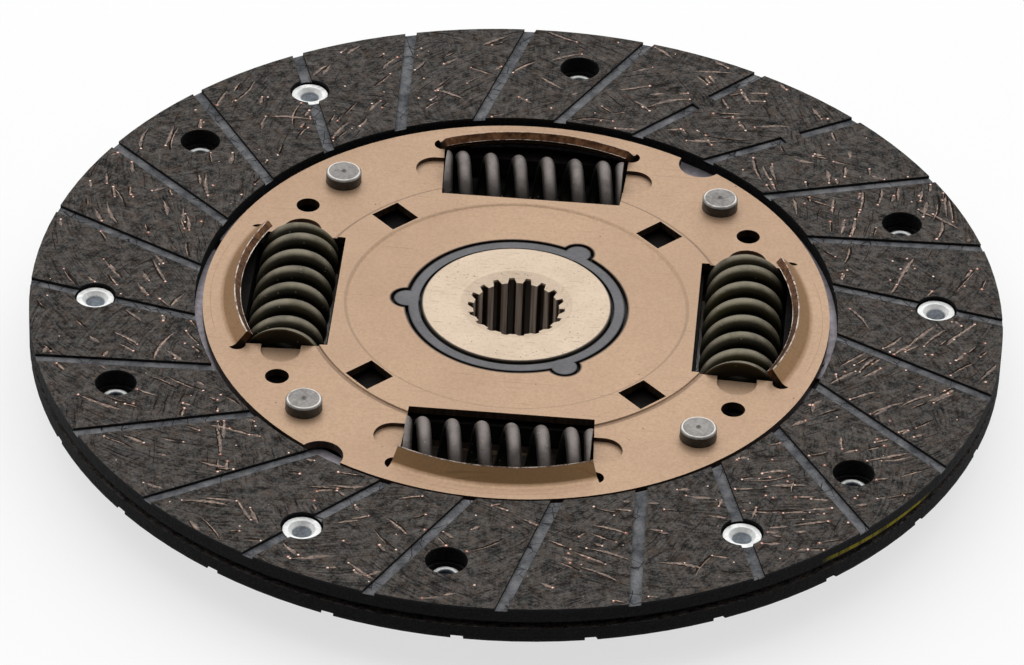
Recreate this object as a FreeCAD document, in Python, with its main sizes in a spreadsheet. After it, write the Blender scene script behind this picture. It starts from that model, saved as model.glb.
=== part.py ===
import FreeCAD, Part
import math
import os
from types import SimpleNamespace

import Sketcher
from FreeCAD import Placement, Rotation, Vector

# Clutch disc with a spring damper in its hub, in millimetres and degrees.
# The origin is the centre of the hub's rear end face, +Z is the disc's axis and points out of the front
# cover plate. The four spring windows lie on +X, +Y, -X and -Y.

doc = FreeCAD.newDocument("ClutchDisc")
sheet = doc.addObject("Spreadsheet::Sheet", "Sizes")


class Dim:
    """A size with its value and the sheet formula that it comes from."""

    def __init__(self, value, formula=None):
        self.value = float(value)
        self.formula = formula or repr(float(value))

    def joined(self, other, sign, value):
        return Dim(value, f"({self.formula} {sign} {as_dim(other).formula})")

    def __add__(self, other):
        return self.joined(other, "+", self.value + as_dim(other).value)

    def __sub__(self, other):
        return self.joined(other, "-", self.value - as_dim(other).value)

    def __mul__(self, other):
        return self.joined(other, "*", self.value * as_dim(other).value)

    def __truediv__(self, other):
        return self.joined(other, "/", self.value / as_dim(other).value)

    def __rsub__(self, other):
        return as_dim(other) - self

    def __rtruediv__(self, other):
        return as_dim(other) / self

    def __neg__(self):
        return Dim(-self.value, f"(0 - {self.formula})")

    __radd__ = __add__
    __rmul__ = __mul__


def as_dim(number):
    return number if isinstance(number, Dim) else Dim(number)


def sine(angle):
    angle = as_dim(angle)
    return Dim(math.sin(math.radians(angle.value)), f"sin({angle.formula} * 1 deg)")


def cosine(angle):
    angle = as_dim(angle)
    return Dim(math.cos(math.radians(angle.value)), f"cos({angle.formula} * 1 deg)")


def arcsine(ratio):
    return Dim(math.degrees(math.asin(ratio.value)), f"(asin({ratio.formula}) / 1 deg)")


def root(number):
    return Dim(math.sqrt(number.value), f"sqrt({number.formula})")


def sheet_sizes(table):
    """Writes each size into the sheet under its name, and gives them all back as values to work with."""
    sizes = {}
    for row, (name, value) in enumerate(table.items(), start=1):
        sheet.set(f"A{row}", name)
        sheet.set(f"B{row}", str(value))
        sheet.setAlias(f"B{row}", name)
        sizes[name] = Dim(value, f"Sizes.{name}")
    doc.recompute()
    return SimpleNamespace(**sizes)


SIZES = {
    # Levels along the axis
    "hub_length": 18.6,
    "middle_height": 13.2,
    "facing_offset": 1.65,
    # Friction facings
    "facing_outer_radius": 107.5,
    "facing_inner_radius": 71.1,
    "facing_thickness": 3.45,
    "facing_gap": 1.8,
    "groove_width": 2.6,
    "groove_depth": 0.7,
    "groove_offset": 29.8,
    "groove_count": 24,
    "closed_groove_long": 4.8,
    "closed_groove_long_radius": 90.5,
    "closed_groove_short": 4.5,
    "closed_groove_short_radius": 91.5,
    # Facing rivets, counted from the +X axis
    "facing_rivet_circle": 93.0,
    "facing_rivet_angle": 5.44,
    "facing_rivet_spread": 20.02,
    "facing_rivet_count": 6,
    "facing_rivet_missing": 1,
    "counterbore_radius": 4.55,
    "counterbore_depth": 1.9,
    "rivet_head_radius": 4.1,
    "rivet_head_thickness": 0.9,
    "rivet_recess_mouth": 2.9,
    "rivet_recess_radius": 2.0,
    "rivet_recess_depth": 1.0,
    "rivet_web": 0.8,
    "rivet_shank_radius": 2.6,
    "rivet_bore_radius": 1.9,
    "rivet_roll_radius": 3.2,
    # Cushion segments
    "segment_count": 6,
    "segment_thickness": 0.7,
    "segment_outer_radius": 106.4,
    "segment_slit_angle": 3.2,
    "segment_foot_gap": 0.2,
    "segment_press_radius": 73.5,
    "segment_press_edge": 1.0,
    "segment_press_half_width": 7.0,
    "segment_press_slope": 4.0,
    "segment_rivet_circle": 68.15,
    "segment_rivet_half_angle": 24.0,
    "segment_rivet_radius": 1.1,
    "segment_rivet_head_radius": 1.45,
    "segment_rivet_head_height": 0.55,
    # Cover plates
    "plate_thickness": 1.8,
    "plate_gap": 6.4,
    "front_plate_radius": 69.3,
    "front_band_inner": 37.4,
    "front_band_outer": 46.4,
    "front_band_height": 0.45,
    "edge_notch_radius": 5.0,
    "edge_notch_centre": 69.8,
    "edge_notch_angle": 57.5,
    "edge_notch_count": 2,
    "rear_plate_bore": 18.5,
    "rear_dish_radius": 37.0,
    "rear_dish_depth": 2.6,
    "rear_wall_radius": 65.0,
    "rear_wall_thickness": 1.6,
    "rear_rim_radius": 70.7,
    "round_hole_circle": 59.2,
    "round_hole_angle": 32.9,
    "round_hole_radius": 2.63,
    "round_hole_pairs": 2,
    "square_hole_circle": 42.1,
    "square_hole_side": 7.4,
    "dish_radius_step": 1.2,
    # Spring windows and their hoods
    "window_count": 4,
    "window_inner": 39.95,
    "window_half_inner": 20.15,
    "window_half_outer": 21.2,
    "window_outer": 65.3,
    "hood_arc_radius": 51.0,
    "hood_foot_step": 0.88,
    "hood_bend_radius": 2.0,
    "hood_overlap": 0.5,
    "hood_lean": 47.3,
    "hood_straight": 3.48,
    "hood_half_width": 22.2,
    "relief_radius": 1.95,
    "relief_side": 21.6,
    "relief_step": 1.0,
    "rear_window_step": 2.6,
    "rear_hood_arc_radius": 81.0,
    "pocket_radius": 4.35,
    "pocket_reach": 26.9,
    "pocket_depth": 1.0,
    # Damper springs
    "spring_circle": 50.0,
    "spring_half_length": 20.12,
    "heavy_spring_radius": 8.8,
    "heavy_wire_radius": 1.9,
    "light_spring_radius": 8.5,
    "light_wire_radius": 1.6,
    "spring_turns": 7.5,
    "spring_closed_pitch": 1.03,
    "spring_ground_share": 0.25,
    # Stop pins
    "pin_circle": 60.4,
    "pin_radius": 4.0,
    "pin_shoulder_radius": 4.4,
    "pin_standout": 2.65,
    "pin_edge": 0.4,
    "pin_dimple_radius": 0.65,
    "pin_dimple_depth": 0.6,
    # Friction parts round the hub
    "bush_outer": 23.95,
    "bush_mouth": 21.65,
    "bush_mouth_depth": 1.2,
    "bush_recess": 0.1,
    "bush_collar_radius": 33.0,
    "bush_collar_thickness": 0.9,
    "bush_lug_circle": 24.3,
    "bush_lug_radius": 2.85,
    "bush_lug_count": 3,
    "bush_gap": 0.75,
    "friction_ring_inner": 26.2,
    "friction_ring_outer": 33.5,
    "friction_ring_thickness": 1.2,
    "support_inner": 20.0,
    "support_outer": 33.0,
    "support_thickness": 0.8,
    "support_tab_width": 5.0,
    "support_tab_length": 3.6,
    "support_tab_thickness": 1.2,
    "cone_spring_inner": 21.0,
    "cone_spring_outer": 29.5,
    "cone_spring_thickness": 0.7,
    # Hub and its flange
    "hub_front_radius": 21.0,
    "hub_rear_radius": 17.5,
    "hub_collar_radius": 25.4,
    "hub_collar_thickness": 1.1,
    "hub_edge": 0.25,
    "hub_rear_edge": 1.0,
    "tooth_count": 12,
    "tooth_root_radius": 22.2,
    "tooth_tip_radius": 24.2,
    "tooth_width": 6.0,
    "tooth_clearance": 0.05,
    "spline_count": 18,
    "spline_minor_radius": 9.55,
    "spline_major_radius": 10.75,
    "spline_space_inner": 1.95,
    "spline_space_outer": 1.15,
    "lead_in_radius": 12.4,
    "lead_in_depth": 1.3,
    "flange_thickness": 4.4,
    "flange_radius": 64.4,
    "flange_window_gap": 0.6,
    "flange_window_corner": 0.5,
    "twist_limit": 9.0,
    # Clearances
    "running_gap": 0.1,
    "journal_gap": 0.3,
    "hole_gap": 0.05,
    "tab_gap": 0.3,
    # How far an outline runs past the edge that it opens or joins
    "cut_overrun": 3.0,
}
S = sheet_sizes(SIZES)

# Levels that several pieces share
facing_middle = S.middle_height + S.facing_offset
segment_top = facing_middle + S.facing_gap / 2
segment_foot = segment_top - S.segment_thickness
front_inside = S.middle_height + S.plate_gap / 2
front_top = front_inside + S.plate_thickness
rear_inside = S.middle_height - S.plate_gap / 2
rear_bottom = rear_inside - S.plate_thickness
flange_top = S.middle_height + S.flange_thickness / 2
flange_bottom = S.middle_height - S.flange_thickness / 2
quarter = 360 / S.window_count


def origin_part(body, role):
    """The body's own origin plane or axis with that role."""
    for feature in body.Origin.OriginFeatures:
        if feature.Role == role:
            return feature


def new_body(label, height=None, turn=None):
    """An empty body, raised to a height and turned about the disc's axis."""
    body = doc.addObject("PartDesign::Body", label)
    body.Label = label
    body.AllowCompound = True
    if height is not None:
        body.setExpression("Placement.Base.z", as_dim(height).formula)
    if turn is not None:
        body.Placement.Rotation = Rotation(Vector(0, 0, 1), turn.value)
        body.setExpression("Placement.Rotation.Angle", f"{turn.formula} * 1 deg")
    return body


def new_sketch(body, name, role="XY_Plane", offset=None):
    """An empty sketch on one of the body's origin planes, or at an offset from it."""
    sketch = body.newObject("Sketcher::SketchObject", name)
    sketch.AttachmentSupport = (origin_part(body, role), "")
    sketch.MapMode = "FlatFace"
    if offset is not None:
        sketch.setExpression("AttachmentOffset.Base.z", as_dim(offset).formula)
    return sketch


def turned_sketch(sketch, angle):
    """Turns an upright sketch about the disc's axis."""
    sketch.AttachmentOffset = Placement(Vector(), Rotation(Vector(0, 1, 0), angle.value))
    sketch.setExpression("AttachmentOffset.Rotation.Angle", f"{angle.formula} * 1 deg")


def fix_point(sketch, geometry, end, x, y):
    """Ties one end of a sketch edge to its two distances from the sketch's origin."""
    for kind, axis, distance in (("DistanceX", -2, as_dim(x)), ("DistanceY", -1, as_dim(y))):
        if distance.value == 0:
            sketch.addConstraint(Sketcher.Constraint("PointOnObject", geometry, end, axis))
        else:
            index = sketch.addConstraint(
                Sketcher.Constraint(kind, -1, 1, geometry, end, distance.value))
            sketch.setExpression(f"Constraints[{index}]", distance.formula)


def fix_radius(sketch, geometry, radius):
    index = sketch.addConstraint(Sketcher.Constraint("Radius", geometry, as_dim(radius).value))
    sketch.setExpression(f"Constraints[{index}]", as_dim(radius).formula)


def draw_circle(sketch, x, y, radius):
    centre = Vector(as_dim(x).value, as_dim(y).value, 0)
    circle = Part.Circle(centre, Vector(0, 0, 1), as_dim(radius).value)
    geometry = sketch.addGeometry(circle, False)
    fix_point(sketch, geometry, 3, x, y)
    fix_radius(sketch, geometry, radius)


def arc_between(start, finish, radius, turn):
    """The short arc from start to finish: turn is 1 for anticlockwise and -1 for clockwise."""
    chord = finish - start
    rise = math.sqrt(max(radius ** 2 - (chord.Length / 2) ** 2, 0))
    left = Vector(-chord.y, chord.x, 0).normalize()
    centre = (start + finish) * 0.5 + left * (rise * turn)
    first, last = (start, finish) if turn > 0 else (finish, start)
    angles = [math.atan2(point.y - centre.y, point.x - centre.x) for point in (first, last)]
    return Part.ArcOfCircle(Part.Circle(centre, Vector(0, 0, 1), radius), *angles)


def draw_outline(sketch, corners):
    """A closed outline. A corner is (x, y), or (x, y, radius, turn) where an arc runs to the next one."""
    points = [Vector(as_dim(corner[0]).value, as_dim(corner[1]).value, 0) for corner in corners]
    edges = []
    for index, corner in enumerate(corners):
        start, finish = points[index], points[(index + 1) % len(points)]
        if len(corner) == 2:
            edges.append((sketch.addGeometry(Part.LineSegment(start, finish), False), 1, 2))
            continue
        arc = sketch.addGeometry(arc_between(start, finish, corner[2].value, corner[3]), False)
        edges.append((arc, 1, 2) if corner[3] > 0 else (arc, 2, 1))
    for index, (edge, _, end) in enumerate(edges):
        after, begin, _ = edges[(index + 1) % len(edges)]
        sketch.addConstraint(Sketcher.Constraint("Coincident", edge, end, after, begin))
    for (edge, begin, _), corner in zip(edges, corners):
        fix_point(sketch, edge, begin, corner[0], corner[1])
        if len(corner) == 4:
            fix_radius(sketch, edge, corner[2])


def pad(body, name, sketch, length):
    feature = body.newObject("PartDesign::Pad", name)
    feature.Profile = sketch
    feature.setExpression("Length", as_dim(length).formula)
    return feature


def pocket(body, name, sketch, length=None, upward=False):
    """Cuts the sketch down into the body, or upward, by a length or right through."""
    feature = body.newObject("PartDesign::Pocket", name)
    feature.Profile = sketch
    feature.Reversed = upward
    if length is None:
        feature.Type = "ThroughAll"
    else:
        feature.setExpression("Length", as_dim(length).formula)
    return feature


def revolve(body, name, sketch, kind="PartDesign::Revolution", axis="V_Axis", angle=None):
    """Turns the sketch round its own vertical axis, or round its construction line."""
    feature = body.newObject(kind, name)
    feature.Profile = sketch
    feature.ReferenceAxis = (sketch, [axis])
    if angle is not None:
        feature.Midplane = True
        feature.setExpression("Angle", as_dim(angle).formula)
    return feature


def polar_pattern(body, name, features, count, angle=360):
    """Repeats features round the disc's axis, the copies spread over the angle."""
    feature = body.newObject("PartDesign::PolarPattern", name)
    feature.Originals = features
    feature.Axis = (origin_part(body, "Z_Axis"), [""])
    feature.setExpression("Angle", as_dim(angle).formula)
    feature.setExpression("Occurrences", as_dim(count).formula)
    body.Tip = feature
    return feature


def upright_axis(sketch, x):
    """A construction line, parallel to the disc's axis, for a revolution away from the middle."""
    line = Part.LineSegment(Vector(x.value, -1, 0), Vector(x.value, 1, 0))
    geometry = sketch.addGeometry(line, True)
    fix_point(sketch, geometry, 1, x, -1)
    fix_point(sketch, geometry, 2, x, 1)


def polar(radius, angle):
    return radius * cosine(angle), radius * sine(angle)


def ring_pad(body, name, inner, outer, thickness):
    sketch = new_sketch(body, name + "_sketch")
    draw_circle(sketch, 0, 0, outer)
    draw_circle(sketch, 0, 0, inner)
    return pad(body, name, sketch, thickness)


def turned(body, name, corners):
    """A piece turned round the disc's axis from its half section of (radius, height) corners."""
    sketch = new_sketch(body, name + "_section", "XZ_Plane")
    draw_outline(sketch, corners)
    return revolve(body, name, sketch)


def groove_reach(radius):
    """How far along its direction a groove's middle line meets a circle."""
    return root(radius * radius - S.groove_offset * S.groove_offset)


def groove_corners(direction, first, last):
    """A stretch of groove, which lies to the left of its outward direction by the groove offset."""
    near = S.groove_offset - S.groove_width / 2
    far = S.groove_offset + S.groove_width / 2
    corners = []
    for along, side in ((first, near), (last, near), (last, far), (first, far)):
        corners.append((along * cosine(direction) - side * sine(direction),
                        along * sine(direction) + side * cosine(direction)))
    return corners


def make_facing(label, worn):
    """One friction ring. Its working face is its local top, and it rests with its back on the segments."""
    body = new_body(label)
    face = S.facing_thickness
    ring_pad(body, label + "_ring", S.facing_inner_radius, S.facing_outer_radius, face)
    # Every fourth groove crosses a rivet.
    direction = S.facing_rivet_angle - arcsine(S.groove_offset / S.facing_rivet_circle)
    start = groove_reach(S.facing_inner_radius) - S.cut_overrun
    groove = new_sketch(body, label + "_groove_sketch", offset=face)
    draw_outline(groove, groove_corners(direction, start, S.facing_outer_radius))
    cut = pocket(body, label + "_groove", groove, S.groove_depth)
    polar_pattern(body, label + "_grooves", [cut], S.groove_count)
    if worn:
        close_worn_grooves(body, label, face, direction)
    drill_facing(body, label, face, worn)
    return body


def close_worn_grooves(body, label, face, direction):
    """Two grooves of the front facing are closed for a short way near the rivet circle."""
    missing = direction + S.facing_rivet_missing * 360 / S.facing_rivet_count
    closed = (
        (missing, S.closed_groove_long, S.closed_groove_long_radius),
        (missing - 360 / S.groove_count, S.closed_groove_short, S.closed_groove_short_radius),
    )
    for index, (turn, length, radius) in enumerate(closed, start=1):
        middle = groove_reach(radius)
        sketch = new_sketch(body, f"{label}_closed_{index}_sketch", offset=face - S.groove_depth)
        draw_outline(sketch, groove_corners(turn, middle - length / 2, middle + length / 2))
        pad(body, f"{label}_closed_{index}", sketch, S.groove_depth)


def drill_facing(body, label, face, worn):
    """Stepped holes for this facing's own rivets, and plain ones over the other facing's rivets."""
    pitch = 360 / S.facing_rivet_count
    own = S.facing_rivet_count - 1 if worn else S.facing_rivet_count
    first = S.facing_rivet_angle + (S.facing_rivet_missing + 1) * pitch
    spread = 360 - pitch - pitch if worn else as_dim(360)
    counterbore = new_sketch(body, label + "_counterbore_sketch", offset=face)
    draw_circle(counterbore, *polar(S.facing_rivet_circle, first), S.counterbore_radius)
    step = pocket(body, label + "_counterbore", counterbore, S.counterbore_depth)
    shank = new_sketch(body, label + "_rivet_hole_sketch", offset=face)
    draw_circle(shank, *polar(S.facing_rivet_circle, first), S.rivet_shank_radius + S.hole_gap)
    hole = pocket(body, label + "_rivet_hole", shank)
    polar_pattern(body, label + "_rivet_holes", [step, hole], own, spread)
    access = new_sketch(body, label + "_access_sketch", offset=face)
    other = S.facing_rivet_angle + S.facing_rivet_spread
    draw_circle(access, *polar(S.facing_rivet_circle, other), S.counterbore_radius)
    through = pocket(body, label + "_access_hole", access)
    polar_pattern(body, label + "_access_holes", [through], S.facing_rivet_count)


def face_rearward(body, height):
    """Turns a piece over, about the line midway between a front and a rear facing rivet."""
    middle = S.facing_rivet_angle + S.facing_rivet_spread / 2
    axis = Vector(math.cos(math.radians(middle.value)), math.sin(math.radians(middle.value)), 0)
    body.Placement = Placement(Vector(0, 0, height.value), Rotation(axis, 180))
    body.setExpression("Placement.Base.z", height.formula)


def make_facing_rivets(label, front):
    """Rivets with a dished head in the facing's step, and a hollow end rolled over behind the segment."""
    body = new_body(label)
    pitch = 360 / S.facing_rivet_count
    count = S.facing_rivet_count - 1 if front else S.facing_rivet_count
    after_missing = S.facing_rivet_angle + (S.facing_rivet_missing + 1) * pitch
    seat = S.facing_thickness - S.counterbore_depth
    head_top = seat + S.rivet_head_thickness
    recess_floor = head_top - S.rivet_recess_depth
    bore_end = recess_floor - S.rivet_web
    behind = -S.segment_thickness
    roll = (S.rivet_roll_radius - S.rivet_bore_radius) / 2
    centre = S.facing_rivet_circle
    sketch = new_sketch(body, label + "_section", "XZ_Plane")
    turned_sketch(sketch, after_missing if front else S.facing_rivet_angle)
    draw_outline(sketch, [
        (centre, recess_floor),
        (centre + S.rivet_recess_radius, recess_floor),
        (centre + S.rivet_recess_mouth, head_top),
        (centre + S.rivet_head_radius, head_top),
        (centre + S.rivet_head_radius, seat),
        (centre + S.rivet_shank_radius, seat),
        (centre + S.rivet_shank_radius, behind),
        (centre + S.rivet_roll_radius, behind, roll, -1),
        (centre + S.rivet_bore_radius + roll, behind - roll, roll, -1),
        (centre + S.rivet_bore_radius, behind),
        (centre + S.rivet_bore_radius, bore_end),
        (centre, bore_end),
    ])
    upright_axis(sketch, centre)
    rivet = revolve(body, label + "_rivet", sketch, axis="Axis0")
    polar_pattern(body, label + "_ring", [rivet], count, 360 - pitch - pitch if front else 360)
    return body


def make_segment(index):
    """A sector of spring steel, flat against the front facing, with one pad pressed down to the rear one."""
    label = f"cushion_segment_{index}"
    pitch = 360 / S.segment_count
    centre = S.facing_rivet_angle + S.facing_rivet_spread / 2 + (index - 1) * pitch
    body = new_body(label, segment_foot, centre)
    half = pitch / 2 - S.segment_slit_angle / 2
    inner = S.rear_wall_radius + S.segment_foot_gap
    outer = S.segment_outer_radius
    sector = new_sketch(body, label + "_outline")
    draw_outline(sector, [
        polar(outer, -half) + (outer, 1),
        (outer, as_dim(0), outer, 1),
        polar(outer, half),
        polar(inner, half) + (inner, -1),
        (inner, as_dim(0), inner, -1),
        polar(inner, -half),
    ])
    pad(body, label + "_sheet", sector, S.segment_thickness)
    press_pad(body, label)
    drill_segment(body, label)
    return body


def press_pad(body, label):
    """The pressed pad: its slopes run down from the sheet by the free height between the facings."""
    middle = S.facing_rivet_circle * sine(S.facing_rivet_spread / 2)
    depth = S.facing_gap - S.segment_thickness
    flat = S.segment_press_half_width
    slope = S.segment_press_slope
    sheet_height = S.segment_thickness
    bend = slope * sheet_height / (depth + slope) / 2
    rim = S.segment_outer_radius - S.segment_press_edge
    far_side = middle + flat + slope
    reach = root(rim * rim - far_side * far_side)
    space = new_sketch(body, label + "_opening_sketch")
    draw_outline(space, [
        (S.segment_press_radius, middle - flat - slope),
        (reach, middle - flat - slope),
        (reach, far_side),
        (S.segment_press_radius, far_side),
    ])
    pocket(body, label + "_opening", space, sheet_height, upward=True)
    section = new_sketch(body, label + "_pad_section", "YZ_Plane", S.segment_press_radius)
    draw_outline(section, [
        (middle - flat - slope, sheet_height),
        (middle - flat - slope, as_dim(0)),
        (middle - flat - bend, -depth),
        (middle + flat + bend, -depth),
        (far_side, as_dim(0)),
        (far_side, sheet_height),
        (far_side - bend, sheet_height),
        (middle + flat, sheet_height - depth),
        (middle - flat, sheet_height - depth),
        (middle - flat - slope + bend, sheet_height),
    ])
    pad(body, label + "_pad", section, reach - S.segment_press_radius)


def drill_segment(body, label):
    """Holes for the two facing rivets and for the two rivets in the foot."""
    holes = new_sketch(body, label + "_holes_sketch", offset=S.facing_gap)
    side = S.facing_rivet_spread / 2
    for angle in (-side, side):
        draw_circle(holes, *polar(S.facing_rivet_circle, angle), S.rivet_shank_radius + S.hole_gap)
    for angle in (-S.segment_rivet_half_angle, S.segment_rivet_half_angle):
        draw_circle(holes, *polar(S.segment_rivet_circle, angle), S.segment_rivet_radius + S.hole_gap)
    pocket(body, label + "_holes", holes)


def make_segment_rivets():
    """Two solid rivets for each segment, through its foot and the rear plate's rim."""
    label = "segment_rivets"
    turn = S.facing_rivet_angle + S.facing_rivet_spread / 2 - S.segment_rivet_half_angle
    body = new_body(label, segment_foot, turn)
    centre = S.segment_rivet_circle
    above = S.segment_thickness
    below = -S.plate_thickness
    for side, spread in (("first", as_dim(0)), ("second", 2 * S.segment_rivet_half_angle)):
        sketch = new_sketch(body, f"{label}_{side}_section", "XZ_Plane")
        turned_sketch(sketch, spread)
        draw_outline(sketch, [
            (centre, above + S.segment_rivet_head_height),
            (centre + S.segment_rivet_head_radius, above + S.segment_rivet_head_height),
            (centre + S.segment_rivet_head_radius, above),
            (centre + S.segment_rivet_radius, above),
            (centre + S.segment_rivet_radius, below),
            (centre + S.segment_rivet_head_radius, below),
            (centre + S.segment_rivet_head_radius, below - S.segment_rivet_head_height),
            (centre, below - S.segment_rivet_head_height),
        ])
        upright_axis(sketch, centre)
        rivet = revolve(body, f"{label}_{side}", sketch, axis="Axis0")
        polar_pattern(body, f"{label}_{side}_ring", [rivet], S.segment_count)
    return body


def cut_windows(body, label, top, highest, upward, arc, step):
    """The spring windows with their corner reliefs, end pockets and leaning hoods.

    They are cut from the sheet's highest level. The arc is that of the window's outer edge and its hood,
    and the step moves both towards the hub.
    """
    outer = S.window_outer - step
    corner = outer - arc + root(arc * arc - S.window_half_outer * S.window_half_outer)
    window = new_sketch(body, label + "_window_sketch", offset=highest)
    draw_outline(window, [
        (S.window_inner, S.window_half_inner),
        (S.window_inner, -S.window_half_inner),
        (corner, -S.window_half_outer, arc, 1),
        (corner, S.window_half_outer),
    ])
    opening = pocket(body, label + "_window", window, upward=upward)
    relief = new_sketch(body, label + "_relief_sketch", offset=highest)
    for side in (-1, 1):
        draw_circle(relief, corner - S.relief_step, S.relief_side * side, S.relief_radius)
    reliefs = pocket(body, label + "_relief", relief, upward=upward)
    depth = S.pocket_depth + (top - highest if upward else highest - top)
    bed = new_sketch(body, label + "_pocket_sketch", offset=highest)
    straight = S.pocket_reach - S.pocket_radius
    draw_outline(bed, [
        (S.spring_circle - S.pocket_radius, -straight),
        (S.spring_circle + S.pocket_radius, -straight),
        (S.spring_circle + S.pocket_radius, straight),
        (S.spring_circle - S.pocket_radius, straight),
    ])
    beds = pocket(body, label + "_pocket", bed, depth, upward=upward)
    ends = new_sketch(body, label + "_pocket_end_sketch", offset=highest)
    for side in (-1, 1):
        draw_circle(ends, S.spring_circle, straight * side, S.pocket_radius)
    rounds = pocket(body, label + "_pocket_end", ends, depth, upward=upward)
    hood = add_hood(body, label, top, -1 if upward else 1, outer, arc)
    polar_pattern(body, label + "_windows", [opening, reliefs, beds, rounds, hood], S.window_count)


def add_hood(body, label, top, side, outer, arc):
    """The sheet outside a window bends outward and leans over the spring: side is 1 to the front."""
    foot = outer + S.hood_foot_step
    inner_bend = S.hood_bend_radius
    outer_bend = S.hood_bend_radius + S.plate_thickness
    rise = 1 - cosine(S.hood_lean)
    drift = sine(S.hood_lean)
    tip_x = foot - inner_bend * drift - S.hood_straight * cosine(S.hood_lean)
    tip_z = inner_bend * rise + S.hood_straight * drift
    edge_z = tip_z - S.plate_thickness * cosine(S.hood_lean)
    under_x = foot - outer_bend * drift
    under_z = outer_bend * rise - S.plate_thickness
    back = foot + S.hood_overlap
    section = new_sketch(body, label + "_hood_section", "XZ_Plane")
    draw_outline(section, [
        (back, top),
        (foot, top, inner_bend, -side),
        (foot - inner_bend * drift, top + side * inner_bend * rise),
        (tip_x, top + side * tip_z),
        (tip_x - S.plate_thickness * drift, top + side * edge_z),
        (under_x, top + side * under_z, outer_bend, side),
        (foot, top - side * S.plate_thickness),
        (back, top - side * S.plate_thickness),
    ])
    upright_axis(section, outer - arc)
    width = arcsine(S.hood_half_width / arc) * 2
    return revolve(body, label + "_hood", section, axis="Axis0", angle=width)


def drill_plate(body, label, top, upward):
    """Round holes on both sides of two windows, and a square hole and a stop pin's hole at each quarter."""
    rounds = new_sketch(body, label + "_round_hole_sketch", offset=top)
    for angle in (-S.round_hole_angle, S.round_hole_angle):
        draw_circle(rounds, *polar(S.round_hole_circle, angle), S.round_hole_radius)
    pair = pocket(body, label + "_round_holes", rounds, upward=upward)
    polar_pattern(body, label + "_round_hole_ring", [pair], S.round_hole_pairs)
    holes = new_sketch(body, label + "_holes_sketch", offset=top)
    draw_circle(holes, *polar(S.pin_circle, quarter / 2), S.pin_radius + S.hole_gap)
    half_diagonal = S.square_hole_side * root(as_dim(2)) / 2
    x, y = polar(S.square_hole_circle, quarter / 2)
    draw_outline(holes, [(x + half_diagonal, y), (x, y + half_diagonal), (x - half_diagonal, y),
                         (x, y - half_diagonal)])
    through = pocket(body, label + "_holes", holes, upward=upward)
    polar_pattern(body, label + "_hole_ring", [through], S.window_count)


def make_front_plate():
    """The front cover plate: a pressed sheet with a raised band, windows and hoods."""
    label = "front_cover_plate"
    body = new_body(label)
    bore = S.bush_outer + S.bush_gap
    raised_top = front_top + S.front_band_height
    raised_inside = front_inside + S.front_band_height
    turned(body, label + "_sheet", [
        (bore, front_inside),
        (S.front_band_inner, front_inside),
        (S.front_band_inner, raised_inside),
        (S.front_band_outer, raised_inside),
        (S.front_band_outer, front_inside),
        (S.front_plate_radius, front_inside),
        (S.front_plate_radius, front_top),
        (S.front_band_outer, front_top),
        (S.front_band_outer, raised_top),
        (S.front_band_inner, raised_top),
        (S.front_band_inner, front_top),
        (bore, front_top),
    ])
    cut_windows(body, label, front_top, raised_top, False, S.hood_arc_radius, as_dim(0))
    drill_plate(body, label, raised_top, False)
    lugs = new_sketch(body, label + "_lug_sketch", offset=front_top)
    draw_circle(lugs, -S.bush_lug_circle, 0, S.bush_lug_radius + S.bush_gap)
    lug = pocket(body, label + "_lug_recess", lugs)
    polar_pattern(body, label + "_lug_recesses", [lug], S.bush_lug_count)
    edge = new_sketch(body, label + "_edge_notch_sketch", offset=front_top)
    draw_circle(edge, *polar(S.edge_notch_centre, S.edge_notch_angle), S.edge_notch_radius)
    notch = pocket(body, label + "_edge_notch", edge)
    polar_pattern(body, label + "_edge_notches", [notch], S.edge_notch_count)
    return body


def make_rear_plate():
    """The rear cover plate: dished at its middle for the friction parts, and stepped up to the segments."""
    label = "rear_cover_plate"
    body = new_body(label)
    dish_inside = rear_inside - S.rear_dish_depth
    dish_bottom = dish_inside - S.plate_thickness
    rim_top = segment_foot
    rim_bottom = segment_foot - S.plate_thickness
    wall = S.rear_wall_radius
    dish = S.rear_dish_radius
    slant = S.dish_radius_step
    turned(body, label + "_sheet", [
        (S.rear_plate_bore, dish_bottom),
        (dish + slant, dish_bottom),
        (dish + slant * 2, rear_bottom),
        (wall + S.rear_wall_thickness, rear_bottom),
        (wall + S.rear_wall_thickness, rim_bottom),
        (S.rear_rim_radius, rim_bottom),
        (S.rear_rim_radius, rim_top),
        (wall, rim_top),
        (wall, rear_inside),
        (dish, rear_inside),
        (dish - slant, dish_inside),
        (S.rear_plate_bore, dish_inside),
    ])
    cut_windows(body, label, rear_bottom, rear_bottom, True, S.rear_hood_arc_radius,
                S.rear_window_step)
    drill_plate(body, label, dish_bottom, True)
    tabs = new_sketch(body, label + "_tab_slot_sketch", offset=dish_bottom)
    tab_slot(tabs, S.tab_gap)
    slot = pocket(body, label + "_tab_slot", tabs, upward=True)
    polar_pattern(body, label + "_tab_slots", [slot], S.window_count)
    rivets = new_sketch(body, label + "_rivet_sketch", offset=dish_bottom)
    middle = S.facing_rivet_angle + S.facing_rivet_spread / 2
    for angle in (middle - S.segment_rivet_half_angle, middle + S.segment_rivet_half_angle):
        draw_circle(rivets, *polar(S.segment_rivet_circle, angle), S.segment_rivet_radius + S.hole_gap)
    holes = pocket(body, label + "_rivet_hole", rivets, upward=True)
    polar_pattern(body, label + "_rivet_holes", [holes], S.segment_count)
    return body


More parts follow.
